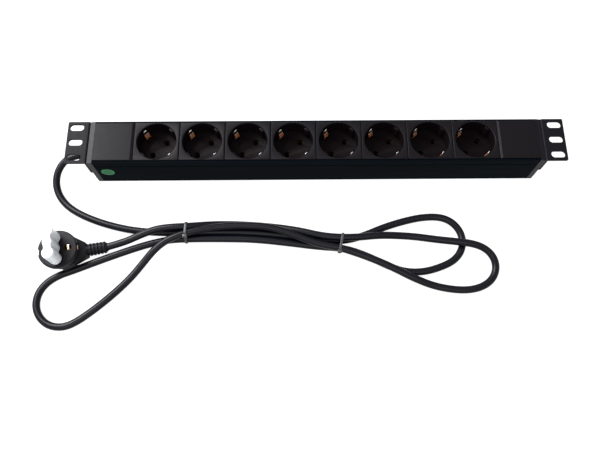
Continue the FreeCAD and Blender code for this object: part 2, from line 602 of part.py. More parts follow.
def make_plug_body():
    """Return the moulded plug body, its face up, before it is turned and moved."""
    disc_z = PLUG_FACE_Z - PLUG_DISC_DEPTH
    body = rod(PLUG_RADIUS, (0, 0, disc_z), (0, 0, PLUG_FACE_Z))
    for side in (0, 180):
        notch = box(PLUG_RADIUS - PLUG_NOTCH_DEPTH, PLUG_RADIUS + 1.0, -3.2, 3.2, disc_z, PLUG_FACE_Z)
        body = body.cut(turned(notch, side))
    grip = rod(PLUG_GRIP_RADIUS, (0, 0, PLUG_BACK_DEPTH), (0, 0, disc_z))
    back = cone(PLUG_BACK_RADIUS, PLUG_GRIP_RADIUS, (0, 0, 0), (0, 0, PLUG_BACK_DEPTH))
    low, high = PLUG_CORD_Z - RELIEF_RADIUS, PLUG_CORD_Z + RELIEF_RADIUS
    keel = tapered_block(4.0, 8.5, low, PLUG_BACK_DEPTH, SHOULDER_MIDDLE, 8.0, low, PLUG_BACK_DEPTH)
    wings = tapered_block(0.0, 18.0, PLUG_BACK_DEPTH, disc_z, SHOULDER_MIDDLE, 14.8, PLUG_BACK_DEPTH, 17.5)
    neck = tapered_block(SHOULDER_MIDDLE, 14.8, PLUG_BACK_DEPTH, 17.5, RELIEF_START, RELIEF_RADIUS, low, high)
    shoulder = keel.fuse([wings, neck])
    relief = cone(RELIEF_RADIUS, RELIEF_RADIUS - 0.4, (RELIEF_START, 0, PLUG_CORD_Z), (RELIEF_END, 0, PLUG_CORD_Z))
    body = body.fuse([grip, back, shoulder, relief])
    for v in (-PIN_SPACING / 2.0, PIN_SPACING / 2.0):
        body = body.cut(rod(PLUG_PIN_RADIUS, (0, v, PLUG_FACE_Z - PLUG_PIN_EMBED), (0, v, PLUG_FACE_Z)))
    body = body.cut(rod(EARTH_HOLE_RADIUS, (EARTH_HOLE_U, 0, EARTH_HOLE_BOTTOM), (EARTH_HOLE_U, 0, PLUG_FACE_Z)))
    return body.cut(make_bridge())


def make_bridge():
    """Return the inner block that carries the pins."""
    return box(-BRIDGE_HALF_U, BRIDGE_HALF_U, -BRIDGE_HALF_V, BRIDGE_HALF_V, BRIDGE_BOTTOM,
               PLUG_FACE_Z - PLUG_PIN_EMBED)


def make_pin_guard():
    """Return the milky cap over the plug pins: two sleeves with a third lobe between them."""
    z0, z1 = PLUG_FACE_Z + GUARD_LIFT, PLUG_FACE_Z + GUARD_LIFT + GUARD_HEIGHT
    half = PIN_SPACING / 2.0
    u = GUARD_SHIFT
    guard = box(u - 3.6, u + 3.6, -GUARD_LOBE_V, GUARD_LOBE_V, z0, z1)
    lobes = [rod(GUARD_LOBE_RADIUS, (u, v, z0), (u, v, z1)) for v in (-GUARD_LOBE_V, GUARD_LOBE_V)]
    guard = guard.fuse(lobes + [rod(GUARD_MIDDLE_RADIUS, (u, 0, z0), (u, 0, z1))]).removeSplitter()
    for v in (-half, half):
        guard = guard.cut(rod(PLUG_PIN_RADIUS + 0.3, (0, v, z0), (0, v, z1 - 1.2)))
    return guard


def build_plug():
    """Write the plug, its pins, contacts, inner bridge and pin guard."""
    def place(shape):
        return turned(shape, PLUG_TURN_DEG, PLUG_X, PLUG_Y)
    half = PIN_SPACING / 2.0
    save("plug_body", place(make_plug_body()))
    pins = []
    for v in (-half, half):
        pin = rod(PLUG_PIN_RADIUS, (0, v, PLUG_FACE_Z - PLUG_PIN_EMBED), (0, v, PLUG_FACE_Z + PLUG_PIN_LENGTH))
        tip = [e for e in pin.Edges if e.BoundBox.ZMin > PLUG_FACE_Z + PLUG_PIN_LENGTH - 0.1]
        pins.append(pin.makeChamfer(0.8, tip))
    save("plug_pins", place(Part.makeCompound(pins)))
    disc_z = PLUG_FACE_Z - PLUG_DISC_DEPTH
    notch = PLUG_RADIUS - PLUG_NOTCH_DEPTH
    strip = box(notch, notch + 0.8, -2.4, 2.4, disc_z, PLUG_FACE_Z - 0.4)
    sleeve = rod(EARTH_HOLE_RADIUS, (EARTH_HOLE_U, 0, EARTH_HOLE_BOTTOM), (EARTH_HOLE_U, 0, PLUG_FACE_Z - 0.4))
    sleeve = sleeve.cut(rod(2.5, (EARTH_HOLE_U, 0, 9.0), (EARTH_HOLE_U, 0, PLUG_FACE_Z)))
    save("plug_earth_contacts", place(Part.makeCompound([strip, turned(strip, 180), sleeve])))
    save("plug_bridge", place(make_bridge()))
    save("pin_guard", place(make_pin_guard()))


os.makedirs("parts", exist_ok=True)
build_frame()
build_modules()
build_wiring()
build_cord()
build_plug()
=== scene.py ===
"""Rack power strip: finishes, fine detail, mains lead and studio, built around the fixed model of its parts.

X runs along the strip, Y across it and Z out of the socket faces. Metres throughout.
"""
from __future__ import annotations

import json
import logging
import math
from dataclasses import dataclass, field
from enum import Enum
from typing import Callable, Sequence

import bmesh
import bpy
from mathutils import Matrix, Vector

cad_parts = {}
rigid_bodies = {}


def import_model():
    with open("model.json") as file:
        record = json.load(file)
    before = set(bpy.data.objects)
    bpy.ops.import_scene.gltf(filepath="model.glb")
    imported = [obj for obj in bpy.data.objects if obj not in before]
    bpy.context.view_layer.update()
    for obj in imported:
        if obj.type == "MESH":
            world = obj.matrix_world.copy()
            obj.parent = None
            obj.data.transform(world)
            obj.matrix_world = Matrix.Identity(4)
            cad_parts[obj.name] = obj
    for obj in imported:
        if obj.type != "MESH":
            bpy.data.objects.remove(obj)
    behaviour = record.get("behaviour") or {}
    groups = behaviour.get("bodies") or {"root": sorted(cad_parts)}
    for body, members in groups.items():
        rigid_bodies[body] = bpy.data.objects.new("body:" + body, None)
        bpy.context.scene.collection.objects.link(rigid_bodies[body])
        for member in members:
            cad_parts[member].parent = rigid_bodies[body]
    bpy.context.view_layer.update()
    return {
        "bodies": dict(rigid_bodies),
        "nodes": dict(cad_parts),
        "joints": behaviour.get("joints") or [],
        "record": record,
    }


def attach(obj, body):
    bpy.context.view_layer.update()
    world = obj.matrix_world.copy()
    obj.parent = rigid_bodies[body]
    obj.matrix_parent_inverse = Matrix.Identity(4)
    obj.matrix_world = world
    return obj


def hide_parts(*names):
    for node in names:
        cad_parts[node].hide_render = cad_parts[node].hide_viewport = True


LOG = logging.getLogger("power_strip")
STRIP = "strip"
Point = tuple[float, float, float]
Colour = tuple[float, float, float]
Socket = bpy.types.NodeSocket
# Steps out and up from a radius and a height, one for each ring of an edge
Edge = tuple[tuple[float, float], ...]

SOCKET_COUNT = 8
PITCH = 0.044
BODY_HALF = 0.220
INLET_Z = 0.014
GLAND_END_X = -0.238
CORD_RADIUS = 0.0035
# A many-sided tube lies a little inside its circle, so it is made that much wider
ROUND_ALLOWANCE = 1.02
PLUG_AT = (-0.2443, -0.1020)
PLUG_TURN = math.radians(10.0)
PLUG_CORD_Z = 0.007
PIN_HALF_SPACING = 0.0095
STICKER_AT = (-0.2049, -0.02235, 0.0220)

# Heights of the lead's centre: on the surface, on a strand below it, and the same where a tie lifts it
STRAND_RISE = 0.0073
TIE_LIFT = 0.0016
LOW = CORD_RADIUS
TOP = LOW + STRAND_RISE
TIED = LOW + TIE_LIFT
TIED_TOP = TOP + TIE_LIFT

# The lead's route, from the gland to the plug
CORD_ROUTE: list[Point] = [
    # out of the gland, down to the surface and along to the left tie
    (GLAND_END_X, 0, INLET_Z), (-0.2455, -0.0012, 0.0136), (-0.2525, -0.0052, 0.0124), (-0.2578, -0.012, 0.0106),
    (-0.2606, -0.0208, 0.0084), (-0.2604, -0.0305, 0.0062), (-0.2566, -0.0405, 0.0045), (-0.2485, -0.0502, LOW),
    (-0.2365, -0.0584, LOW), (-0.22, -0.066, LOW), (-0.2, -0.0726, LOW), (-0.178, -0.0774, LOW),
    (-0.152, -0.0796, LOW + 0.0003), (-0.128, -0.0799, TIED), (-0.1, -0.079, LOW + 0.0003), (-0.07, -0.0794, LOW),
    # under the right tie and round the inner right loop
    (-0.042, -0.0816, LOW), (-0.014, -0.0854, LOW), (0.01, -0.0892, LOW + 0.0007), (0.03, -0.0892, TIED),
    (0.048, -0.0834, LOW + 0.0002), (0.066, -0.0755, LOW), (0.086, -0.0692, LOW), (0.104, -0.0652, LOW),
    (0.1207, -0.0646, LOW), (0.1321, -0.0685, LOW), (0.1404, -0.0774, LOW), (0.1435, -0.0891, LOW),
    (0.1408, -0.1008, LOW), (0.1328, -0.11, LOW), (0.1205, -0.116, LOW), (0.1045, -0.1208, LOW),
    (0.087, -0.1212, LOW), (0.07, -0.1156, LOW), (0.05, -0.1048, LOW),
    # back along the near side of the bundle and round the left loop
    (0.027, -0.097, TIED), (0.002, -0.0948, LOW), (-0.028, -0.0906, LOW), (-0.06, -0.0868, LOW),
    (-0.092, -0.0860, LOW), (-0.124, -0.0864, TIED), (-0.146, -0.0868, LOW), (-0.168, -0.0922, LOW),
    (-0.192, -0.1006, LOW), (-0.216, -0.1098, LOW), (-0.2355, -0.1176, LOW), (-0.2475, -0.1218, LOW),
    (-0.2585, -0.1289, LOW), (-0.2653, -0.1389, LOW), (-0.2666, -0.151, LOW), (-0.262, -0.1622, LOW),
    (-0.2528, -0.17, LOW), (-0.2409, -0.1725, LOW), (-0.2293, -0.1692, LOW), (-0.2135, -0.158, LOW),
    (-0.195, -0.142, LOW), (-0.179, -0.1255, LOW),
    # up onto the bundle, arching over it to the right tie
    (-0.1675, -0.111, 0.0056), (-0.1575, -0.0995, 0.0094), (-0.1475, -0.091, TOP + 0.0006),
    (-0.134, -0.0848, TIED_TOP), (-0.116, -0.0794, TOP + 0.0006), (-0.094, -0.0756, TOP - 0.0006),
    (-0.07, -0.0746, TOP - 0.0006), (-0.045, -0.0764, TOP), (-0.02, -0.0856, TOP), (0.002, -0.0946, TOP + 0.0004),
    (0.022, -0.0986, TIED_TOP), (0.04, -0.1044, TOP + 0.0004), (0.058, -0.1116, TOP), (0.075, -0.1198, TOP),
    # round the outer right loop and back over the inner one
    (0.091, -0.128, 0.0088), (0.11, -0.1348, 0.0044), (0.129, -0.1386, LOW), (0.1450, -0.1392, LOW),
    (0.1580, -0.136, LOW), (0.1680, -0.129, LOW), (0.1730, -0.1186, LOW), (0.1718, -0.1078, 0.0046),
    (0.1642, -0.0996, 0.0078), (0.152, -0.0952, TOP), (0.136, -0.0930, TOP), (0.117, -0.0900, 0.0084),
    (0.096, -0.086, 0.0062), (0.076, -0.0852, 0.0078),
    # back under the right tie, under the arch, over the first strand and into the plug
    (0.058, -0.086, TOP), (0.04, -0.088, TOP + 0.0006), (0.022, -0.0884, TIED_TOP), (0.004, -0.0862, 0.0114),
    (-0.017, -0.0800, 0.0090), (-0.043, -0.0743, LOW + 0.0006), (-0.072, -0.0716, LOW),
    (-0.1, -0.0711, LOW + 0.0003), (-0.127, -0.0757, 0.0111), (-0.142, -0.0765, 0.0118),
    (-0.1565, -0.0782, TOP + 0.0002), (-0.171, -0.084, TOP), (-0.1865, -0.0906, 0.0084),
    (-0.2035, -0.0948, PLUG_CORD_Z),
]


class Facing(Enum):
    """Way that a sideways piece points, as its turn from the vertical in degrees."""

    LEFT = -90.0
    RIGHT = 90.0

    def matrix(self) -> Matrix:
        """Return the turn that takes a piece built along +Z to this way."""
        return Matrix.Rotation(math.radians(self.value), 4, "Y")


class Bench:
    """Modelling moves that every sub-assembly uses."""

    MERGE_DISTANCE = 2e-6
    FLAT_DEGREES = 0.5
    SHEET_DEGREES = 50.0

    @staticmethod
    def pick(*pieces: bpy.types.Object) -> None:
        """Select only these pieces and make the first one active."""
        if bpy.context.mode != "OBJECT":
            bpy.ops.object.mode_set(mode="OBJECT")
        bpy.ops.object.select_all(action="DESELECT")
        for piece in pieces:
            piece.select_set(True)
        bpy.context.view_layer.objects.active = pieces[0]

    @staticmethod
    def select_faces(piece: bpy.types.Object, test: Callable[[bmesh.types.BMFace], bool]) -> None:
        """Enter edit mode with only the faces that pass a test selected.

        Args:
            piece: The piece to edit.
            test: Tells whether a face is wanted, from its place or normal.
        """
        Bench.pick(piece)
        bpy.ops.object.mode_set(mode="EDIT")
        bpy.ops.mesh.select_mode(type="FACE")
        bpy.ops.mesh.select_all(action="DESELECT")
        mesh = bmesh.from_edit_mesh(piece.data)
        for face in mesh.faces:
            face.select_set(test(face))
        mesh.select_flush_mode()
        bmesh.update_edit_mesh(piece.data)

    @staticmethod
    def apply(piece: bpy.types.Object) -> None:
        """Apply every modifier of a piece."""
        Bench.pick(piece)
        for modifier in list(piece.modifiers):
            bpy.ops.object.modifier_apply(modifier=modifier.name)

    @staticmethod
    def bake_place(piece: bpy.types.Object) -> bpy.types.Object:
        """Put a piece's place, turn and scale into its mesh."""
        Bench.pick(piece)
        bpy.ops.object.transform_apply(location=True, rotation=True, scale=True)
        return piece

    @staticmethod
    def block(low: Point, high: Point) -> bpy.types.Object:
        """Return a box between two corners."""
        bpy.ops.object.select_all(action="DESELECT")
        middle = [(a + b) / 2.0 for a, b in zip(low, high)]
        bpy.ops.mesh.primitive_cube_add(size=1.0, location=middle)
        piece = bpy.context.object
        piece.scale = [b - a for a, b in zip(low, high)]
        return Bench.bake_place(piece)

    @staticmethod
    def face_outwards(piece: bpy.types.Object) -> None:
        """Make every face of a piece point outwards."""
        Bench.pick(piece)
        bpy.ops.object.mode_set(mode="EDIT")
        bpy.ops.mesh.select_all(action="SELECT")
        bpy.ops.mesh.normals_make_consistent(inside=False)
        bpy.ops.object.mode_set(mode="OBJECT")

    @staticmethod
    def rings(radius: float, height: float, edge: Edge) -> list[tuple[float, float]]:
        """Return the rings of an edge that starts from a radius and a height."""
        return [(radius + out, height + up) for out, up in edge]

    @staticmethod
    def turned(profile: Sequence[tuple[float, float]], sides: int = 64) -> bpy.types.Object:
        """Turn a closed solid round the vertical, ring by ring.

        Args:
            profile: Radius and height of each ring, from the lowest one.
            sides: Number of sides of each ring.

        Returns:
            The solid, centred on the vertical axis.
        """
        bpy.ops.object.select_all(action="DESELECT")
        radius, height = profile[0]
        bpy.ops.mesh.primitive_circle_add(vertices=sides, radius=radius, fill_type="NGON", location=(0, 0, height))
        piece = bpy.context.object
        bpy.ops.object.mode_set(mode="EDIT")
        bpy.ops.mesh.select_mode(type="FACE")
        bpy.ops.mesh.select_all(action="SELECT")
        for wide, up in profile[1:]:
            bpy.ops.mesh.extrude_region_move(TRANSFORM_OT_translate={"value": (0, 0, up - height)})
            scale = wide / radius
            bpy.ops.transform.resize(value=(scale, scale, 1.0))
            radius, height = wide, up
        bpy.ops.object.mode_set(mode="OBJECT")
        Bench.face_outwards(piece)
        return Bench.bake_place(piece)

    @staticmethod
    def combine(piece: bpy.types.Object, tool: bpy.types.Object, operation: str) -> bpy.types.Object:
        """Cut a tool out of a piece, or add it, and remove the tool.

        Args:
            piece: The piece that is kept.
            tool: The shape that is cut out or added.
            operation: DIFFERENCE or UNION.

        Returns:
            The piece.
        """
        Bench.pick(piece)
        modifier = piece.modifiers.new("Combine", "BOOLEAN")
        modifier.operation = operation
        modifier.solver = "EXACT"
        modifier.object = tool
        bpy.ops.object.modifier_apply(modifier=modifier.name)
        bpy.data.objects.remove(tool)
        return piece

    @staticmethod
    def round_edges(piece: bpy.types.Object, width: float, segments: int = 2, degrees: float = 30.0) -> None:
        """Round every edge that is sharper than an angle."""
        modifier = piece.modifiers.new("Round", "BEVEL")
        modifier.width = width
        modifier.segments = segments
        modifier.limit_method = "ANGLE"
        modifier.angle_limit = math.radians(degrees)
        modifier.use_clamp_overlap = True
        Bench.apply(piece)

    @staticmethod
    def thicken(piece: bpy.types.Object, thickness: float, edge: float = 0.0, offset: float = 0.0) -> None:
        """Give a sheet its thickness.

        Args:
            piece: The sheet.
            thickness: Its thickness.
            edge: Width of its rounded edges, or none.
            offset: -1 where it grows inwards, 0 where it grows to both sides.
        """
        wall = piece.modifiers.new("Thickness", "SOLIDIFY")
        wall.thickness = thickness
        wall.offset = offset
        if edge:
            bevel = piece.modifiers.new("Edges", "BEVEL")
            bevel.width = edge
            bevel.segments = 2
            bevel.angle_limit = math.radians(Bench.SHEET_DEGREES)
        Bench.apply(piece)

    @staticmethod
    def melt(piece: bpy.types.Object, voxel: float, rounds: int) -> None:
        """Blend joined shells into one skin with moulded fillets.

        Args:
            piece: The piece, a set of shells that overlap.
            voxel: Cell size of the new skin.
            rounds: Number of smoothing passes.
        """
        Bench.pick(piece)
        remesh = piece.modifiers.new("Melt", "REMESH")
        remesh.mode = "VOXEL"
        remesh.voxel_size = voxel
        smooth = piece.modifiers.new("Smooth", "SMOOTH")
        smooth.factor = 0.5
        smooth.iterations = rounds
        Bench.apply(piece)

    @staticmethod
    def moved(piece: bpy.types.Object, matrix: Matrix) -> bpy.types.Object:
        """Move a piece's mesh by a matrix and leave its object at the origin."""
        piece.data.transform(matrix)
        piece.data.update()
        return piece

    @staticmethod
    def twin(piece: bpy.types.Object, matrix: Matrix) -> bpy.types.Object:
        """Return a copy of a piece with its own mesh, moved by a matrix."""
        copy = piece.copy()
        copy.data = piece.data.copy()
        bpy.context.scene.collection.objects.link(copy)
        return Bench.moved(copy, matrix)

    @staticmethod
    def joined(pieces: Sequence[bpy.types.Object]) -> bpy.types.Object:
        """Join several pieces into the first one."""
        if len(pieces) > 1:
            Bench.pick(*pieces)
            bpy.ops.object.join()
        return pieces[0]

    @staticmethod
    def cast_of(source: bpy.types.Object) -> bpy.types.Object:
        """Return a merged copy of a node's mesh, with its flat faces whole, ready for finer edges."""
        piece = bpy.data.objects.new(source.name + "_fine", source.data.copy())
        bpy.context.scene.collection.objects.link(piece)
        piece.data.materials.clear()
        Bench.pick(piece)
        if piece.data.has_custom_normals:
            bpy.ops.mesh.customdata_custom_splitnormals_clear()
        bpy.ops.object.mode_set(mode="EDIT")
        bpy.ops.mesh.select_all(action="SELECT")
        bpy.ops.mesh.remove_doubles(threshold=Bench.MERGE_DISTANCE)
        bpy.ops.mesh.dissolve_limited(angle_limit=math.radians(Bench.FLAT_DEGREES))
        bpy.ops.object.mode_set(mode="OBJECT")
        return piece


# --- Finishes ---------------------------------------------------------------------------------------------------


class Graph:
    """A material's nodes, laid out by short calls."""

    def __init__(self, material: bpy.types.Material) -> None:
        """Take over a new material's nodes."""
        material.use_nodes = True
        self.nodes, self.links = material.node_tree.nodes, material.node_tree.links
        self.shader = self.nodes["Principled BSDF"]

    def set(self, name: str, value: float | tuple[float, ...]) -> None:
        """Set one of the shader's own sockets."""
        self.shader.inputs[name].default_value = value

    def feed(self, name: str, value: Socket) -> None:
        """Link a value to one of the shader's sockets."""
        self.links.new(value, self.shader.inputs[name])

    def place(self) -> Socket:
        """Return the piece's own coordinates."""
        return self.nodes.new("ShaderNodeTexCoord").outputs["Object"]

    def height(self) -> Socket:
        """Return the height on the piece."""
        split = self.nodes.new("ShaderNodeSeparateXYZ")
        self.links.new(self.place(), split.inputs["Vector"])
        return split.outputs["Z"]

    def mapped(self, name: str, value: Point) -> Socket:
        """Return the piece's coordinates with one setting of a mapping, such as its scale."""
        mapping = self.nodes.new("ShaderNodeMapping")
        mapping.inputs[name].default_value = value
        self.links.new(self.place(), mapping.inputs["Vector"])
        return mapping.outputs["Vector"]

    def noise(self, place: Socket, scale: float, detail: float) -> Socket:
        """Return a noise texture's value on some coordinates."""
        noise = self.nodes.new("ShaderNodeTexNoise")
        noise.inputs["Scale"].default_value = scale
        noise.inputs["Detail"].default_value = detail
        self.links.new(place, noise.inputs["Vector"])
        return noise.outputs["Fac"]

    def ramp(self, value: Socket, start: float, end: float, low: float = 0.0, high: float = 1.0) -> Socket:
        """Return a value spread evenly over a new span.

        Args:
            value: The value.
            start: Where the new span is at its low end.
            end: Where it is at its high end.
            low: The new span's low end.
            high: The new span's high end.

        Returns:
            The spread value.
        """
        spread = self.nodes.new("ShaderNodeMapRange")
        for name, number in (("From Min", start), ("From Max", end), ("To Min", low), ("To Max", high)):
            spread.inputs[name].default_value = number
        self.links.new(value, spread.inputs["Value"])
        return spread.outputs["Result"]

    def mix(self, factor: Socket, below: Socket | Colour, above: Colour) -> Socket:
        """Return a colour laid over another one, which may come from a node."""
        blend = self.nodes.new("ShaderNodeMix")
        blend.data_type = "RGBA"
        blend.inputs["B"].default_value = (*above, 1.0)
        self.links.new(factor, blend.inputs["Factor"])
        if isinstance(below, tuple):
            blend.inputs["A"].default_value = (*below, 1.0)
        else:
            self.links.new(below, blend.inputs["A"])
        return blend.outputs["Result"]


@dataclass(frozen=True)
class Finish:
    """Moulded, coated or plated surface with fine grain and slow changes of tone."""

    name: str
    colour: Colour
    tone: Colour
    roughness: float
    rough_spread: float = 0.08
    metallic: float = 0.0
    specular: float = 0.5
    grain_size: float = 0.0004
    grain_depth: float = 0.00002
    grain_strength: float = 0.6
    tone_size: float = 0.03
    patches_per_tone: float = 6.0
    stretch: Point = (1.0, 1.0, 1.0)
    tone_detail: float = 3.0
    patch_detail: float = 4.0
    grain_detail: float = 2.0

    def build(self) -> bpy.types.Material:
        """Return the finish as a material."""
        material = bpy.data.materials.new(self.name)
        graph = Graph(material)
        graph.set("Metallic", self.metallic)
        graph.set("Specular IOR Level", self.specular)
        place = graph.mapped("Scale", self.stretch)
        slow = graph.noise(place, 1.0 / self.tone_size, self.tone_detail)
        colour = graph.mix(slow, self.colour, self.tone)
        graph.feed("Base Color", colour)
        patches = graph.noise(place, self.patches_per_tone / self.tone_size, self.patch_detail)
        graph.feed("Roughness", graph.ramp(patches, 0.0, 1.0, self.roughness - self.rough_spread,
                                           self.roughness + self.rough_spread))
        bump = graph.nodes.new("ShaderNodeBump")
        bump.inputs["Strength"].default_value = self.grain_strength
        bump.inputs["Distance"].default_value = self.grain_depth
        graph.links.new(graph.noise(place, 1.0 / self.grain_size, self.grain_detail), bump.inputs["Height"])
        graph.feed("Normal", bump.outputs["Normal"])
        self.dress_further(graph, colour)
        return material

    def dress_further(self, graph: Graph, colour: Socket) -> None:
        """Add what one kind of finish has beyond the others."""


@dataclass(frozen=True)
class SpringStrip(Finish):
    """Plated bronze strip, worn to bare bronze on its bulge, with a dark band of painted shade on the slope above it.
    """

    # Height bands and their colours: bare bronze on the bulge, then a dark band of painted shade on the slope under the
    # tip
    zones: tuple[tuple[float, float, Colour], ...] = (
        (0.0235, 0.0348, (0.66, 0.26, 0.12)), (0.0356, 0.0390, (0.050, 0.026, 0.020)))
    fade: float = 0.0010

    def dress_further(self, graph: Graph, colour: Socket) -> None:
        """Give each zone of height its own colour."""
        height = graph.height()
        for low, high, tint in self.zones:
            both = graph.nodes.new("ShaderNodeMath")
            both.operation = "MULTIPLY"
            graph.links.new(graph.ramp(height, low, low + self.fade), both.inputs[0])
            graph.links.new(graph.ramp(height, high + self.fade, high), both.inputs[1])
            colour = graph.mix(both.outputs["Value"], colour, tint)
        graph.feed("Base Color", colour)


@dataclass(frozen=True)
class PlatePlastic(Finish):
    """Moulded plate whose recesses are darkened with painted shade and given a lower specular."""

    # Painted shade: a darker, slightly reddish colour for the plastic in the recesses, with its lower specular
    recess: Colour = (0.0030, 0.0018, 0.0022)
    recess_specular: float = 0.025
    recess_top: float = 0.0430
    recess_fade: float = 0.0030

    def dress_further(self, graph: Graph, colour: Socket) -> None:
        """Paint shade into the plastic below the face, and lower its specular there."""
        depth = graph.ramp(graph.height(), self.recess_top, self.recess_top - self.recess_fade)
        graph.feed("Base Color", graph.mix(depth, colour, self.recess))
        graph.feed("Specular IOR Level", graph.ramp(depth, 0.0, 1.0, self.specular, self.recess_specular))


@dataclass(frozen=True)
class MilkyPlastic(Finish):
    """Translucent natural polythene."""

    clear: float = 0.55
    bending: float = 1.45

    def dress_further(self, graph: Graph, colour: Socket) -> None:
        """Let light through."""
        graph.set("Transmission Weight", self.clear)
        graph.set("IOR", self.bending)


@dataclass(frozen=True)
class PrintedDisc(Finish):
    """Printed round film with a lighter rim."""

    centre: Point = (0.0, 0.0, 0.0)
    radius: float = 0.0063
    rim: Colour = (0.25, 0.75, 0.42)
    rim_from: float = 0.80
    rim_full: float = 0.92

    def dress_further(self, graph: Graph, colour: Socket) -> None:
        """Lighten the print towards its rim."""
        reach = graph.nodes.new("ShaderNodeVectorMath")
        reach.operation = "LENGTH"
        x, y, z = self.centre
        graph.links.new(graph.mapped("Location", (-x, -y, -z)), reach.inputs[0])
        edge = graph.ramp(reach.outputs["Value"], self.radius * self.rim_from, self.radius * self.rim_full)
        graph.feed("Base Color", graph.mix(edge, colour, self.rim))


FINISHES: dict[str, Finish] = {
    "black_anodised": Finish("black_anodised", (0.0006, 0.0016, 0.0030), (0.0012, 0.0024, 0.0038), 0.60, specular=0.008,
                             stretch=(0.08, 1.0, 1.0), grain_size=0.0005, grain_depth=0.00001),
    "black_powder_coat": Finish("black_powder_coat", (0.0026, 0.0024, 0.0038), (0.0036, 0.0034, 0.0050), 0.50,
                                specular=0.062, grain_size=0.0007, grain_depth=0.00005),
    "black_cap_plastic": Finish("black_cap_plastic", (0.0028, 0.0020, 0.0036), (0.0038, 0.0028, 0.0048), 0.40,
                                specular=0.10, grain_size=0.0005, grain_depth=0.00001),
    "black_plate_plastic": PlatePlastic("black_plate_plastic", (0.0020, 0.0015, 0.0023), (0.0028, 0.0021, 0.0030),
                                        0.46, specular=0.080, grain_size=0.0005, grain_depth=0.00003),
    "grey_base_plastic": Finish("grey_base_plastic", (0.010, 0.010, 0.011), (0.014, 0.014, 0.015), 0.6),
    "nickel_brass": SpringStrip("nickel_brass", (0.66, 0.63, 0.60), (0.50, 0.46, 0.42), 0.28, metallic=0.72,
                                tone_size=0.004, stretch=(1.0, 1.0, 0.3), grain_depth=0.00001),
    # Painted shade: the brass colour is darkened far below real brass, since the bars are seen only down the dark pin
    # holes
    "brass": Finish("brass", (0.030, 0.020, 0.010), (0.022, 0.015, 0.007), 0.55, metallic=1.0, tone_size=0.01),
    "brown_core": Finish("brown_core", (0.10, 0.04, 0.02), (0.12, 0.05, 0.025), 0.45),
    "blue_core": Finish("blue_core", (0.02, 0.06, 0.35), (0.025, 0.08, 0.42), 0.45),
    "green_yellow_core": Finish("green_yellow_core", (0.05, 0.32, 0.05), (0.75, 0.65, 0.05), 0.45, tone_size=0.004),
    "black_pvc": Finish("black_pvc", (0.0019, 0.0021, 0.0038), (0.0030, 0.0030, 0.0050), 0.32, specular=0.12,
                        tone_size=0.02, grain_size=0.0006, grain_depth=0.00003),
    "black_clamp_plastic": Finish("black_clamp_plastic", (0.02, 0.02, 0.02), (0.03, 0.03, 0.03), 0.6),
    "zinc_steel": Finish("zinc_steel", (0.56, 0.57, 0.58), (0.45, 0.46, 0.48), 0.32, metallic=1.0, tone_size=0.004),
    "tie_plastic": Finish("tie_plastic", (0.016, 0.016, 0.018), (0.024, 0.024, 0.027), 0.42, specular=0.35,
                          tone_size=0.01),
    "green_sticker": PrintedDisc("green_sticker", (0.003, 0.100, 0.030), (0.005, 0.065, 0.022), 0.42, specular=0.08,
                                 tone_size=0.003, centre=STICKER_AT, rim=(0.020, 0.200, 0.070)),
    "black_plug_pvc": Finish("black_plug_pvc", (0.0042, 0.0036, 0.0050), (0.0060, 0.0052, 0.0066), 0.46, specular=0.085,
                             tone_size=0.012, grain_size=0.0008, grain_depth=0.00004),
    "nickel_pin": Finish("nickel_pin", (0.72, 0.70, 0.67), (0.62, 0.60, 0.56), 0.22, metallic=1.0, tone_size=0.006),
    "contact_brass": Finish("contact_brass", (0.86, 0.62, 0.44), (0.74, 0.50, 0.34), 0.28, metallic=1.0,
                            tone_size=0.005),
    "bridge_plastic": Finish("bridge_plastic", (0.2, 0.2, 0.2), (0.24, 0.24, 0.24), 0.5),
    "milky_guard": MilkyPlastic("milky_guard", (0.88, 0.90, 0.92), (0.80, 0.84, 0.88), 0.30, specular=0.5,
                                tone_size=0.01, grain_depth=0.00004),
}


class Dresser:
    """Makes each finish once and hands pieces over: finish, body, record slot and replaced nodes."""

    def __init__(self) -> None:
        """Start with no finish made."""
        self.made: dict[str, bpy.types.Material] = {}

    def material(self, slot: str) -> bpy.types.Material:
        """Return the material of a record slot."""
        if slot not in self.made:
            self.made[slot] = FINISHES[slot].build()
        return self.made[slot]

    def dress_node(self, node: bpy.types.Object, slot: str) -> None:
        """Give a kept node its finish."""
        node.data.materials.clear()
        node.data.materials.append(self.material(slot))

    def hand_over(self, piece: bpy.types.Object, name: str, slot: str, nodes: Sequence[str] = (),
                  body: str = STRIP, smooth_degrees: float = 25.0) -> bpy.types.Object:
        """Name and dress a finished piece and tie it to its body.

        Args:
            piece: The finished piece, in place.
            name: Its name.
            slot: The record's material slot that it takes its finish from.
            nodes: The fixed model's nodes that it stands for.
            body: The body that it moves with.
            smooth_degrees: Edges flatter than this are shaded smooth.

        Returns:
            The piece.
        """
        piece.name = name
        piece.data.name = name
        piece.data.materials.clear()
        piece.data.materials.append(self.material(slot))
        if piece.type == "MESH":
            Bench.pick(piece)
            bpy.ops.object.shade_smooth_by_angle(angle=math.radians(smooth_degrees))
        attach(piece, body)
        if nodes:
            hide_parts(*nodes)
        LOG.info("%s on %s", name, body)
        return piece


# --- Channel, caps, ears and their screws -------------------------------------------------------------------------


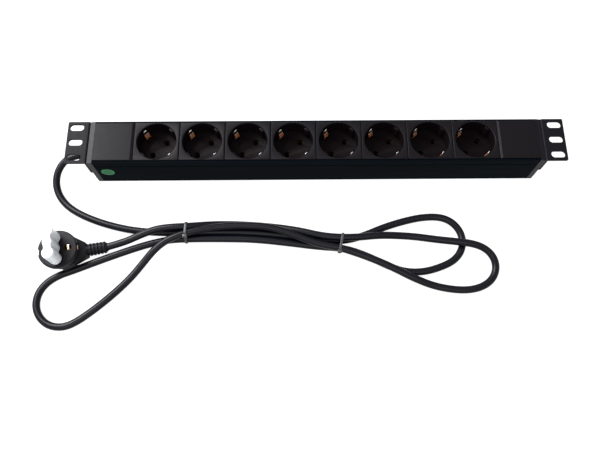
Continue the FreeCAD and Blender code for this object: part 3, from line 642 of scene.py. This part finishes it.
@dataclass
class Frame:
    """Channel, end caps, rack ears and the screws at the ends."""

    nodes: dict[str, bpy.types.Object]
    dresser: Dresser
    channel_edge: float = 0.00025
    cap_edge: float = 0.00035
    ear_edge: float = 0.00035
    ear_screws: tuple[tuple[float, float], ...] = ((-0.012, 0.032), (0.012, 0.032))
    cap_screws: tuple[tuple[float, float], ...] = ((-0.0176, 0.0049), (0.0176, 0.0049))
    ear_thickness: float = 0.002
    ear_screw_length: float = 0.010
    cap_screw_length: float = 0.014
    head_radius: float = 0.0034
    head_height: float = 0.0022
    shank_radius: float = 0.0016
    # Radius and height of each ring of the head, as shares of its own
    head_shape: Edge = ((0.97, 0.0), (1.0, 0.12), (1.0, 0.45), (0.9, 0.78), (0.68, 0.94), (0.35, 1.0))
    # Cross recess: reach of an arm, its bottom and a top clear of the head, as shares of the head, and its half width
    cross_reach: float = 0.62
    cross_span: tuple[float, float] = (0.40, 1.2)
    cross_half: float = 0.00035
    flat_degrees: float = 9.0

    def build(self) -> None:
        """Build and dress every piece of the frame."""
        for node, slot, edge in (("housing", "black_anodised", self.channel_edge),
                                 ("end_cap_left", "black_cap_plastic", self.cap_edge),
                                 ("end_cap_right", "black_cap_plastic", self.cap_edge),
                                 ("ear_left", "black_powder_coat", self.ear_edge),
                                 ("ear_right", "black_powder_coat", self.ear_edge)):
            piece = Bench.cast_of(self.nodes[node])
            Bench.round_edges(piece, edge)
            self.dresser.hand_over(piece, node + "_shell", slot, [node], smooth_degrees=self.flat_degrees)
        face = BODY_HALF + self.ear_thickness
        self.screws("ear_screw_set", "ear_screws", self.ear_screws, face, self.ear_screw_length)
        self.screws("end_cap_screw_set", "end_cap_screws", self.cap_screws, BODY_HALF, self.cap_screw_length)

    def screw(self, length: float) -> bpy.types.Object:
        """Return a pan-head screw with a cross recess, its seat at the origin and its head up."""
        r, h, s = self.head_radius, self.head_height, self.shank_radius
        head = [(r * wide, h * up) for wide, up in self.head_shape]
        screw = Bench.turned([(s * 0.5, -length), (s, -length + s), (s, 0.0), *head], 32)
        bottom, top = self.cross_span
        for turn in (45.0, 135.0):
            arm = Bench.block((-r * self.cross_reach, -self.cross_half, h * bottom),
                              (r * self.cross_reach, self.cross_half, h * top))
            Bench.moved(arm, Matrix.Rotation(math.radians(turn), 4, "Z"))
            Bench.combine(screw, arm, "DIFFERENCE")
        return screw

    def screws(self, name: str, node: str, places: Sequence[tuple[float, float]], seat: float, length: float) -> None:
        """Build one set of screws at both ends of the strip.

        Args:
            name: Name of the set.
            node: The node that it stands for.
            places: Y and Z of each screw.
            seat: Distance of the screw heads' seat from the middle of the strip.
            length: Length of the shank.
        """
        pattern = self.screw(length)
        copies = []
        for facing, x in ((Facing.LEFT, -seat), (Facing.RIGHT, seat)):
            for y, z in places:
                copies.append(Bench.twin(pattern, Matrix.Translation((x, y, z)) @ facing.matrix()))
        bpy.data.objects.remove(pattern)
        self.dresser.hand_over(Bench.joined(copies), name, "zinc_steel", [node])


# --- Sockets, spring clips and blank panels -----------------------------------------------------------------------


@dataclass
class Sockets:
    """Socket fronts, their earth clips and the blank panels at both ends."""

    nodes: dict[str, bpy.types.Object]
    dresser: Dresser
    plate_edge: float = 0.00022
    # The panels' socket-side edges slope gently: they are rounded, and shaded flat
    slope_degrees: float = 15.0
    flat_degrees: float = 8.0
    clip_half_width: float = 0.0025
    clip_thickness: float = 0.0006
    clip_edge: float = 0.00012
    clip_taper: tuple[float, ...] = (0.92, 0.84, 0.82, 0.74)
    clip_start: float = 0.0002
    clip_degrees: float = 60.0
    clip_line: tuple[tuple[float, float], ...] = (
        (0.01870, 0.0211), (0.01870, 0.0232), (0.01860, 0.0248), (0.01775, 0.0266), (0.01670, 0.0282),
        (0.01605, 0.0293), (0.01590, 0.0302), (0.01605, 0.0314), (0.01660, 0.0332), (0.01735, 0.0356),
        (0.01795, 0.0376), (0.01815, 0.0388), (0.01805, 0.0399), (0.01770, 0.0409), (0.01735, 0.0416))
    clip_angles: dict[str, float] = field(default_factory=lambda: {"upper": 135.0, "lower": 315.0})

    def build(self) -> None:
        """Build and dress every socket, clip and panel."""
        first = -(SOCKET_COUNT - 1) / 2.0 * PITCH
        front = Bench.cast_of(self.nodes["socket_front_1"])
        Bench.round_edges(front, self.plate_edge)
        clip = self.clip()
        for number in range(1, SOCKET_COUNT + 1):
            shift = (number - 1) * PITCH
            copy = Bench.twin(front, Matrix.Translation((shift, 0, 0)))
            node = "socket_front_%d" % number
            self.dresser.hand_over(copy, node + "_face", "black_plate_plastic", [node])
            for side, degrees in self.clip_angles.items():
                place = Matrix.Translation((first + shift, 0, 0)) @ Matrix.Rotation(math.radians(degrees), 4, "Z")
                node = "earth_clip_%d_%s" % (number, side)
                self.dresser.hand_over(Bench.twin(clip, place), node + "_strip", "nickel_brass", [node], node,
                                       self.clip_degrees)
        bpy.data.objects.remove(front)
        bpy.data.objects.remove(clip)
        for side in ("left", "right"):
            node = "blank_panel_" + side
            panel = Bench.cast_of(self.nodes[node])
            Bench.round_edges(panel, self.plate_edge, degrees=self.slope_degrees)
            self.dresser.hand_over(panel, node + "_face", "black_plate_plastic", [node],
                                   smooth_degrees=self.flat_degrees)

    def clip(self) -> bpy.types.Object:
        """Return one spring clip on the +X side of the vertical axis: straight root, rounded bulge, flared tip."""
        radius, height = self.clip_line[0]
        bpy.ops.object.select_all(action="DESELECT")
        bpy.ops.mesh.primitive_plane_add(size=1.0, location=(radius, 0, height))
        clip = bpy.context.object
        clip.scale = (self.clip_start, self.clip_half_width * 2.0, 1.0)
        Bench.bake_place(clip)
        bpy.ops.object.mode_set(mode="EDIT")
        bpy.ops.mesh.select_mode(type="EDGE")
        mesh = bmesh.from_edit_mesh(clip.data)
        spare = [e for e in mesh.edges if all(v.co.x > radius for v in e.verts)]
        bmesh.ops.delete(mesh, geom=[v for e in spare for v in e.verts], context="VERTS")
        for vert in mesh.verts:
            vert.co.x = radius
        for edge in mesh.edges:
            edge.select_set(True)
        bmesh.update_edit_mesh(clip.data)
        widths = [1.0] * (len(self.clip_line) - 1 - len(self.clip_taper)) + list(self.clip_taper)
        for (r, z), narrow in zip(self.clip_line[1:], widths):
            bpy.ops.mesh.extrude_edges_move(TRANSFORM_OT_translate={"value": (r - radius, 0, z - height)})
            bpy.ops.transform.resize(value=(1.0, narrow, 1.0))
            radius, height = r, z
        bpy.ops.object.mode_set(mode="OBJECT")
        Bench.thicken(clip, self.clip_thickness, self.clip_edge)
        Bench.face_outwards(clip)
        return clip


@dataclass
class Sticker:
    """Round inspection sticker on the -Y side of the channel."""

    dresser: Dresser
    radius: float = 0.0063
    thickness: float = 0.00015
    edge_height: float = 0.7
    top_radius: float = 0.985

    def build(self) -> None:
        """Build and dress the sticker."""
        disc = Bench.turned([(self.radius, 0.0), (self.radius, self.thickness * self.edge_height),
                             (self.radius * self.top_radius, self.thickness)])
        x, y, z = STICKER_AT
        place = Matrix.Translation((x, y + self.thickness, z)) @ Matrix.Rotation(math.radians(90.0), 4, "X")
        Bench.moved(disc, place)
        self.dresser.hand_over(disc, "inspection_sticker_film", "green_sticker", ["inspection_sticker"])


# --- Mains lead ---------------------------------------------------------------------------------------------------


@dataclass(frozen=True)
class Rib:
    """Moulded rib of a strain relief: its rise in metres, its fall as shares of the pitch."""

    rise: tuple[float, float]
    fall: tuple[float, float, float]
    depth: float = 0.0011
    corner: float = 0.0002

    def rings(self, radius: float, start: float, pitch: float) -> list[tuple[float, float]]:
        """Return the rings of one rib of some radius that starts at some height."""
        edge, crest = self.rise
        crest_end, edge_end, foot = self.fall
        return [(radius - self.depth, start), (radius - self.corner, start + edge), (radius, start + crest),
                (radius, start + pitch * crest_end), (radius - self.corner, start + pitch * edge_end),
                (radius - self.depth, start + pitch * foot)]


@dataclass
class Lead:
    """Mains lead with its gland and the two cable ties."""

    dresser: Dresser
    length: float = 1.835
    steps_per_point: int = 8
    round_steps: int = 5
    # Place along the strip, lean along it for each metre across, and the Y about which it leans
    tie_places: tuple[tuple[float, float, float], ...] = ((-0.127, 0.0, -0.0815), (0.024, 0.19, -0.0925))
    tie_half_width: float = 0.0012
    tie_thickness: float = 0.0008
    tie_slack: float = 0.0002
    tie_edge: float = 0.00018
    tie_steps: int = 40
    bundle_span: tuple[float, float] = (-0.125, -0.06)
    head_low: Point = (-0.0016, -0.0010, -0.0021)
    head_high: Point = (0.0008, 0.0030, 0.0021)
    head_edge: float = 0.0003
    mouth_inset: float = 0.0007
    mouth_depth: float = 0.0005
    tail_low: Point = (-0.0012, -0.0036, -0.0011)
    tail_high: Point = (-0.0004, -0.0008, 0.0011)
    tail_edge: float = 0.0002
    collar_start: float = 0.213
    cap_inner: float = 0.215
    collar_radius: float = 0.0069
    neck_radius: float = 0.0058
    flange_at: float = 0.2224
    flange_foot: Edge = ((0.0067, 0.0), (0.0069, 0.0003))
    flange_rim: Edge = ((0.0069, -0.0006), (0.0062, 0.0), (0.0056, 0.0002))
    gland_rib: Rib = Rib((0.0002, 0.0005), (0.55, 0.65, 0.70))
    gland_ribs: int = 5
    gland_plain: float = 0.0022
    gland_first: float = 0.0006
    gland_taper: float = 0.0012
    gland_mouth: Edge = ((0.0042, -0.0016), (0.0044, -0.0012), (0.0044, -0.0004), (0.0041, 0.0))
    centreline: list[Vector] = field(default_factory=list)

    def build_cord(self) -> bpy.types.Object:
        """Build the lead as one smooth curve and read the line that it follows."""
        curve = bpy.data.curves.new("mains_lead", "CURVE")
        curve.dimensions = "3D"
        curve.resolution_u = self.steps_per_point
        spline = curve.splines.new("NURBS")
        spline.points.add(len(CORD_ROUTE) - 1)
        for point, place in zip(spline.points, CORD_ROUTE):
            point.co = (*place, 1.0)
        spline.order_u = 3
        spline.use_endpoint_u = True
        lead = bpy.data.objects.new("mains_lead", curve)
        bpy.context.scene.collection.objects.link(lead)
        bpy.context.view_layer.update()
        line = bpy.data.meshes.new_from_object(lead)
        self.centreline = [v.co.copy() for v in line.vertices]
        bpy.data.meshes.remove(line)
        curve.bevel_depth = CORD_RADIUS * ROUND_ALLOWANCE
        curve.bevel_resolution = self.round_steps
        curve.use_fill_caps = True
        return self.dresser.hand_over(lead, "mains_lead", "black_pvc", ["mains_cord"])

    def build_gland(self) -> bpy.types.Object:
        """Build the moulded strain relief: collar, neck, flange and a ribbed taper."""
        profile = [(self.collar_radius, self.collar_start), (self.collar_radius, self.cap_inner),
                   (self.neck_radius, self.cap_inner), (self.neck_radius, BODY_HALF),
                   *Bench.rings(0.0, BODY_HALF, self.flange_foot), *Bench.rings(0.0, self.flange_at, self.flange_rim)]
        end = -GLAND_END_X
        pitch = (end - self.flange_at - self.gland_plain) / self.gland_ribs
        for number in range(self.gland_ribs):
            radius = self.neck_radius - self.gland_taper * (number + 0.5) / self.gland_ribs
            profile += self.gland_rib.rings(radius, self.flange_at + self.gland_first + number * pitch, pitch)
        profile += Bench.rings(0.0, end, self.gland_mouth)
        gland = Bench.turned(profile, 48)
        Bench.moved(gland, Matrix.Translation((0, 0, INLET_Z)) @ Facing.LEFT.matrix())
        return self.dresser.hand_over(gland, "cord_gland_boot", "black_pvc", ["cord_gland"])

    def strands_at(self, x: float, slope: float, middle: float) -> list[tuple[float, float]]:
        """Return where the lead crosses a tie's plane.

        Args:
            x: Place of the tie along the strip.
            slope: How far the tie leans along X for each metre of Y.
            middle: Y about which it leans.

        Returns:
            Y and Z of each strand.
        """
        near, far = self.bundle_span
        found = []
        sides = [p.x - x - slope * (p.y - middle) for p in self.centreline]
        for before, after, d0, d1 in zip(self.centreline, self.centreline[1:], sides, sides[1:]):
            if d0 * d1 < 0 and near < before.y < far:
                place = before.lerp(after, d0 / (d0 - d1))
                found.append((place.y, place.z))
        return found

    def hull(self, strands: Sequence[tuple[float, float]]) -> list[tuple[float, float]]:
        """Return the taut line round all the strands, anticlockwise."""
        reach = CORD_RADIUS + self.tie_thickness / 2.0 + self.tie_slack
        angles = [math.tau * step / self.tie_steps for step in range(self.tie_steps)]
        cloud = sorted({(y + reach * math.cos(angle), z + reach * math.sin(angle))
                        for y, z in strands for angle in angles})
        halves = []
        for ordered in (cloud, cloud[::-1]):
            half: list[tuple[float, float]] = []
            for point in ordered:
                while len(half) > 1 and self.turn(half[-2], half[-1], point) <= 0:
                    half.pop()
                half.append(point)
            halves += half[:-1]
        return halves

    @staticmethod
    def turn(a: tuple[float, float], b: tuple[float, float], c: tuple[float, float]) -> float:
        """Return twice the signed area of a triangle."""
        return (b[0] - a[0]) * (c[1] - a[1]) - (b[1] - a[1]) * (c[0] - a[0])

    def build_ties(self) -> bpy.types.Object:
        """Build both ties, each a taut strap with its ratchet head and a cut tail."""
        pieces = []
        for x, slope, middle in self.tie_places:
            line = self.hull(self.strands_at(x, slope, middle))
            curve = bpy.data.curves.new("tie_line", "CURVE")
            curve.dimensions = "3D"
            curve.extrude = self.tie_half_width
            spline = curve.splines.new("POLY")
            spline.points.add(len(line) - 1)
            for point, (y, z) in zip(spline.points, line):
                point.co = (y, z, 0.0, 1.0)
            spline.use_cyclic_u = True
            path = bpy.data.objects.new("tie_line", curve)
            bpy.context.scene.collection.objects.link(path)
            bpy.context.view_layer.update()
            strap = bpy.data.objects.new("tie_strap", bpy.data.meshes.new_from_object(path))
            bpy.context.scene.collection.objects.link(strap)
            bpy.data.objects.remove(path)
            Bench.thicken(strap, self.tie_thickness, self.tie_edge)
            pieces += [strap, *self.tie_head(line)]
            frame = Matrix(((slope, 0, 1, x - slope * middle), (1, 0, 0, 0), (0, 1, 0, 0), (0, 0, 0, 1)))
            for piece in pieces[-3:]:
                Bench.moved(piece, frame)
        return self.dresser.hand_over(Bench.joined(pieces), "cable_tie_pair", "tie_plastic", ["cable_ties"])

    def tie_head(self, line: Sequence[tuple[float, float]]) -> list[bpy.types.Object]:
        """Return a tie's ratchet head and cut tail, beside the strap's near upper corner."""
        y, z = min(line, key=lambda place: place[0] - place[1] * 0.6)
        head, tail = (Bench.block((y + low[0], z + low[1], low[2]), (y + high[0], z + high[1], high[2]))
                      for low, high in ((self.head_low, self.head_high), (self.tail_low, self.tail_high)))
        Bench.select_faces(head, lambda face: face.normal.x < -0.5)
        bpy.ops.mesh.inset(thickness=self.mouth_inset)
        bpy.ops.mesh.extrude_region_move(TRANSFORM_OT_translate={"value": (self.mouth_depth, 0, 0)})
        bpy.ops.object.mode_set(mode="OBJECT")
        Bench.round_edges(head, self.head_edge)
        Bench.round_edges(tail, self.tail_edge)
        return [head, tail]


# --- Plug ---------------------------------------------------------------------------------------------------------


@dataclass
class Plug:
    """Angled earthed plug that lies on its back, its pins up, with a cap over the pins."""

    dresser: Dresser
    face_z: float = 0.0250
    disc_z: float = 0.0190
    radius: float = 0.0185
    disc_foot: Edge = ((-0.0012, 0.0), (-0.0002, 0.0008), (0.0, 0.0016))
    disc_rim: Edge = ((0.0, -0.0006), (-0.0006, 0.0))
    grip_radius: float = 0.0155
    grip_edge: Edge = ((-0.0018, -0.0018), (-0.0002, 0.0002), (0.0, 0.0016))
    back_radius: float = 0.0090
    back_depth: float = 0.0080
    back_edge: Edge = ((-0.0012, 0.0002), (0.0006, 0.0011))
    overlap: float = 0.001
    keel_start: float = 0.004
    keel_halves: tuple[float, float] = (0.0085, 0.0080)
    wing_half: float = 0.0180
    middle_u: float = 0.0115
    middle_half: float = 0.0148
    middle_top: float = 0.0175
    shoulder_edge: float = 0.0010
    body_voxel: float = 0.00055
    body_rounds: int = 7
    notch_inset: float = 0.0012
    notch_reach: float = 0.0012
    notch_half: float = 0.0032
    notch_shift: float = 0.0010
    hole_at: float = 0.0100
    hole_floor: float = 0.008
    hole_radius: float = 0.0033
    relief_start: float = 0.0225
    relief_end: float = 0.0426
    relief_radius: float = 0.0062
    relief_root: float = 0.002
    relief_root_share: float = 0.9
    relief_rib: Rib = Rib((0.0003, 0.0007), (0.56, 0.66, 0.74))
    relief_ribs: int = 6
    relief_plain: float = 0.002
    relief_first: float = 0.0012
    relief_stand: float = 0.0001
    relief_taper: float = 0.0006
    relief_mouth: Edge = ((0.0042, -0.0004), (0.0038, 0.0))
    pin_radius: float = 0.0024
    pin_root: float = 0.004
    pin_top: float = 0.0440
    # Radius of each ring of a pin's tip, as a share of its own, and its step from the top
    pin_tip: Edge = ((1.0, -0.0016), (0.92, -0.0008), (0.72, -0.0002), (0.4, 0.0))
    strip_inset: float = 0.0010
    strip_half: tuple[float, float] = (0.0004, 0.0024)
    strip_lift: float = 0.0001
    # Side and drop below the face of each side strip, the one by the lead last
    strip_drops: tuple[tuple[float, float], ...] = ((-1.0, 0.0014), (1.0, 0.0042))
    strip_edge: float = 0.00025
    leaf_half: tuple[float, float] = (0.0012, 0.0029)
    leaf_low: float = 0.0100
    leaf_drop: float = 0.0002
    leaf_edge: float = 0.0006
    sleeve_gap: float = 0.0002
    sleeve_span: tuple[float, float] = (0.0082, 0.0140)
    guard_low: float = 0.0270
    guard_top: float = 0.0490
    guard_shift: float = -0.0012
    guard_lobe_at: float = 0.0104
    guard_lobe: float = 0.0056
    guard_middle: float = 0.0046
    guard_web: float = 0.0034
    guard_crown: Edge = ((0.0, -0.0012), (-0.0004, -0.0004), (-0.0012, 0.0))
    guard_wall: float = 0.0011
    guard_voxel: float = 0.0004
    guard_rounds: int = 4
    guard_trim: float = 0.0007

    def place(self) -> Matrix:
        """Return the plug's place, from its own axes to the strip's."""
        return Matrix.Translation((*PLUG_AT, 0)) @ Matrix.Rotation(PLUG_TURN, 4, "Z")

    def build(self) -> list[bpy.types.Object]:
        """Build and dress the plug's visible pieces."""
        return [self.body(), self.relief(), self.pins(), self.contacts(), self.guard()]

    def body(self) -> bpy.types.Object:
        """Build the moulded body: disc, grip and shoulder melted into one, then its notches and its earth hole."""
        depth, lap = self.back_depth, self.overlap
        disc = Bench.turned([*Bench.rings(self.radius, self.disc_z, self.disc_foot),
                             *Bench.rings(self.radius, self.face_z, self.disc_rim)], 96)
        grip = Bench.turned([*Bench.rings(self.back_radius, 0.0, self.back_edge),
                             *Bench.rings(self.grip_radius, depth, self.grip_edge),
                             (self.grip_radius, self.disc_z + lap)], 96)
        body = Bench.joined([disc, grip, *self.shoulder()])
        Bench.melt(body, self.body_voxel, self.body_rounds)
        for side in (-1.0, 1.0):
            middle = side * (self.radius - self.notch_inset)
            notch = Bench.block((middle - self.notch_reach, -self.notch_half, self.disc_z - lap),
                                (middle + self.notch_reach, self.notch_half, self.face_z + lap))
            Bench.moved(notch, Matrix.Translation((side * self.notch_shift, 0, 0)))
            Bench.combine(body, notch, "DIFFERENCE")
        hole = Bench.turned([(self.hole_radius, self.hole_floor), (self.hole_radius, self.face_z + lap)], 48)
        Bench.combine(body, Bench.moved(hole, Matrix.Translation((self.hole_at, 0, 0))), "DIFFERENCE")
        Bench.moved(body, self.place())
        return self.dresser.hand_over(body, "plug_moulded_body", "black_plug_pvc", ["plug_body", "plug_bridge"],
                                      smooth_degrees=40.0)

    def shoulder(self) -> list[bpy.types.Object]:
        """Return the blocks that lead from the grip to the strain relief: keel, wings and neck."""
        depth, lap = self.back_depth, self.overlap
        low, high = PLUG_CORD_Z - self.relief_radius, PLUG_CORD_Z + self.relief_radius
        keel_wide, keel_narrow = self.keel_halves
        middle = (self.middle_half, depth, self.middle_top)
        return [self.wedge(self.keel_start, (keel_wide, low, depth), self.middle_u, (keel_narrow, low, depth)),
                self.wedge(0.0, (self.wing_half, depth, self.disc_z + lap), self.middle_u + lap, middle),
                self.wedge(self.middle_u - lap, middle, self.relief_start + lap, (self.relief_radius, low, high))]

    def wedge(self, start: float, wide: Point, end: float, narrow: Point) -> bpy.types.Object:
        """Return one tapered block of the shoulder.

        Args:
            start: Where it starts along the plug's axis.
            wide: Half width, bottom and top at its start.
            end: Where it ends.
            narrow: Half width, bottom and top at its end.

        Returns:
            The block, with rounded edges.
        """
        (half, low, high), (end_half, end_low, end_high) = wide, narrow
        block = Bench.block((start, -half, low), (end, half, high))
        Bench.select_faces(block, lambda face: face.normal.x > 0.5)
        bpy.ops.transform.resize(value=(1.0, end_half / half, (end_high - end_low) / (high - low)))
        bpy.ops.transform.translate(value=(0, 0, (end_low + end_high - low - high) / 2.0))
        bpy.ops.object.mode_set(mode="OBJECT")
        Bench.round_edges(block, self.shoulder_edge, 3)
        return block

    def relief(self) -> bpy.types.Object:
        """Build the plug's ribbed strain relief."""
        start, end = self.relief_start - self.relief_root, self.relief_end
        pitch = (end - start - self.relief_plain) / self.relief_ribs
        profile = [(self.relief_radius * self.relief_root_share, start)]
        for number in range(self.relief_ribs):
            radius = self.relief_radius + self.relief_stand - self.relief_taper * number / self.relief_ribs
            profile += self.relief_rib.rings(radius, start + self.relief_first + number * pitch, pitch)
        profile += Bench.rings(0.0, end, self.relief_mouth)
        relief = Bench.turned(profile, 48)
        Bench.moved(relief, self.place() @ Matrix.Translation((0, 0, PLUG_CORD_Z)) @ Facing.RIGHT.matrix())
        return self.dresser.hand_over(relief, "plug_strain_relief", "black_plug_pvc")

    def pins(self) -> bpy.types.Object:
        """Build both contact pins, with rounded ends."""
        tip = [(self.pin_radius * share, self.pin_top + up) for share, up in self.pin_tip]
        pin = Bench.turned([(self.pin_radius, self.face_z - self.pin_root), *tip], 40)
        copies = [Bench.twin(pin, self.place() @ Matrix.Translation((0, v, 0)))
                  for v in (-PIN_HALF_SPACING, PIN_HALF_SPACING)]
        bpy.data.objects.remove(pin)
        return self.dresser.hand_over(Bench.joined(copies), "plug_pin_pair", "nickel_pin", ["plug_pins"])

    def contacts(self) -> bpy.types.Object:
        """Build the side earth strips, and the sprung leaf and sleeve inside the earth hole."""
        parts = []
        thick, wide = self.strip_half
        for side, drop in self.strip_drops:
            x = side * (self.radius - self.strip_inset)
            parts.append(Bench.block((x - thick, -wide, self.disc_z + self.strip_lift),
                                     (x + thick, wide, self.face_z - drop)))
            Bench.round_edges(parts[-1], self.strip_edge)
        thick, wide = self.leaf_half
        leaf = Bench.block((-thick, -wide, self.leaf_low), (thick, wide, self.face_z - self.leaf_drop))
        Bench.round_edges(leaf, self.leaf_edge, 3)
        sleeve = Bench.turned([(self.hole_radius - self.sleeve_gap, z) for z in self.sleeve_span], 32)
        for piece in (leaf, sleeve):
            parts.append(Bench.moved(piece, Matrix.Translation((self.hole_at, 0, 0))))
        piece = Bench.moved(Bench.joined(parts), self.place())
        return self.dresser.hand_over(piece, "plug_earth_strips", "contact_brass", ["plug_earth_contacts"])

    def guard(self) -> bpy.types.Object:
        """Build the milky cap: three lobes melted into one shell that is open underneath."""
        low, high, shift = self.guard_low, self.guard_top, self.guard_shift
        web = Bench.block((-self.guard_web, -self.guard_lobe_at, low), (self.guard_web, self.guard_lobe_at, high))
        shells = [Bench.moved(web, Matrix.Translation((shift, 0, 0)))]
        for v, radius in ((-self.guard_lobe_at, self.guard_lobe), (self.guard_lobe_at, self.guard_lobe),
                          (0.0, self.guard_middle)):
            shell = Bench.turned([(radius, low), *Bench.rings(radius, high, self.guard_crown)], 48)
            shells.append(Bench.moved(shell, Matrix.Translation((shift, v, 0))))
        cap = Bench.joined(shells)
        Bench.melt(cap, self.guard_voxel, self.guard_rounds)
        base = low + self.guard_trim
        Bench.select_faces(cap, lambda face: True)
        bpy.ops.mesh.bisect(plane_co=(0, 0, base), plane_no=(0, 0, 1), clear_inner=True)
        bpy.ops.object.mode_set(mode="OBJECT")
        Bench.moved(cap, Matrix.Translation((0, 0, low - base)))
        Bench.thicken(cap, self.guard_wall, offset=-1.0)
        Bench.moved(cap, self.place())
        return self.dresser.hand_over(cap, "pin_guard_cap", "milky_guard", ["pin_guard"], "pin_guard", 50.0)


# --- Studio -------------------------------------------------------------------------------------------------------


@dataclass
class Studio:
    """Camera, evenly lit pale floor and soft lights."""

    camera_at: Point = (-0.01748, -0.27986, 0.59016)
    pitch: float = 0.3401
    yaw: float = 0.0024
    roll: float = -0.0067
    lens: float = 37.81
    sensor: float = 36.0
    nearest: float = 0.01
    floor_size: float = 12.0
    floor_drop: float = 0.0001
    floor_colour: Colour = (0.12, 0.12, 0.12)
    floor_glow: float = 0.96
    lights: tuple[tuple[str, Point, float, float], ...] = (
        ("key_light", (-0.74, 0.46, 0.84), 0.75, 40.0), ("fill_light", (-0.1, -1.1, 1.5), 1.3, 16.0))

    def build_camera(self) -> None:
        """Place the camera above the near side of the strip."""
        forward = Vector((0, math.sin(self.pitch), -math.cos(self.pitch)))
        up = Vector((0, math.cos(self.pitch), math.sin(self.pitch)))
        right = Vector((1, 0, 0))
        forward, right = (forward * math.cos(self.yaw) + right * math.sin(self.yaw),
                          right * math.cos(self.yaw) - forward * math.sin(self.yaw))
        right, up = (right * math.cos(self.roll) + up * math.sin(self.roll),
                     up * math.cos(self.roll) - right * math.sin(self.roll))
        turn = Matrix((right, up, -forward)).transposed().to_4x4()
        data = bpy.data.cameras.new("camera")
        data.lens = self.lens
        data.sensor_width = self.sensor
        data.clip_start = self.nearest
        camera = bpy.data.objects.new("camera", data)
        camera.matrix_world = Matrix.Translation(self.camera_at) @ turn
        bpy.context.scene.collection.objects.link(camera)
        bpy.context.scene.camera = camera

    def build_room(self) -> None:
        """Lay the floor, which glows evenly as a light table does, and hang the lights."""
        white = (1.0, 1.0, 1.0, 1.0)
        bpy.ops.object.select_all(action="DESELECT")
        bpy.ops.mesh.primitive_plane_add(size=self.floor_size, location=(0, 0, -self.floor_drop))
        floor = bpy.context.object
        floor.name = "floor"
        paper = bpy.data.materials.new("pale_floor")
        graph = Graph(paper)
        for name, value in (("Base Color", (*self.floor_colour, 1.0)), ("Roughness", 0.9),
                            ("Specular IOR Level", 0.0), ("Emission Color", white),
                            ("Emission Strength", self.floor_glow)):
            graph.set(name, value)
        floor.data.materials.append(paper)
        world = bpy.data.worlds.new("studio")
        world.use_nodes = True
        world.node_tree.nodes["Background"].inputs["Color"].default_value = white
        world.node_tree.nodes["Background"].inputs["Strength"].default_value = 1.0
        bpy.context.scene.world = world
        for name, at, size, power in self.lights:
            self.softbox(name, at, size, power)
        bpy.context.scene.view_settings.view_transform = "Standard"

    @staticmethod
    def softbox(name: str, at: Point, size: float, power: float) -> None:
        """Hang one square soft light that faces the middle of the object."""
        data = bpy.data.lights.new(name, "AREA")
        data.size = size
        data.energy = power
        light = bpy.data.objects.new(name, data)
        light.location = at
        light.rotation_euler = (-Vector(at)).to_track_quat("-Z", "Y").to_euler()
        bpy.context.scene.collection.objects.link(light)


def main() -> None:
    """Build the object's looks around the fixed model, in order."""
    logging.basicConfig(level=logging.INFO, format="%(name)s: %(message)s")
    for spare in list(bpy.data.objects):
        bpy.data.objects.remove(spare)
    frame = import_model()
    nodes = frame["nodes"]
    dresser = Dresser()
    studio = Studio()
    studio.build_camera()
    lead = Lead(dresser)
    cord = lead.build_cord()
    gland = lead.build_gland()
    ties = lead.build_ties()
    plug_pieces = Plug(dresser).build()
    Frame(nodes, dresser).build()
    Sockets(nodes, dresser).build()
    Sticker(dresser).build()
    slots = {row["node"]: row["material_slot"] for row in frame["record"]["subparts"]}
    for name, node in nodes.items():
        if not node.hide_render:
            dresser.dress_node(node, slots[name])
            LOG.info("%s keeps its own shape", name)
    studio.build_room()


if __name__ == "__main__":
    main()
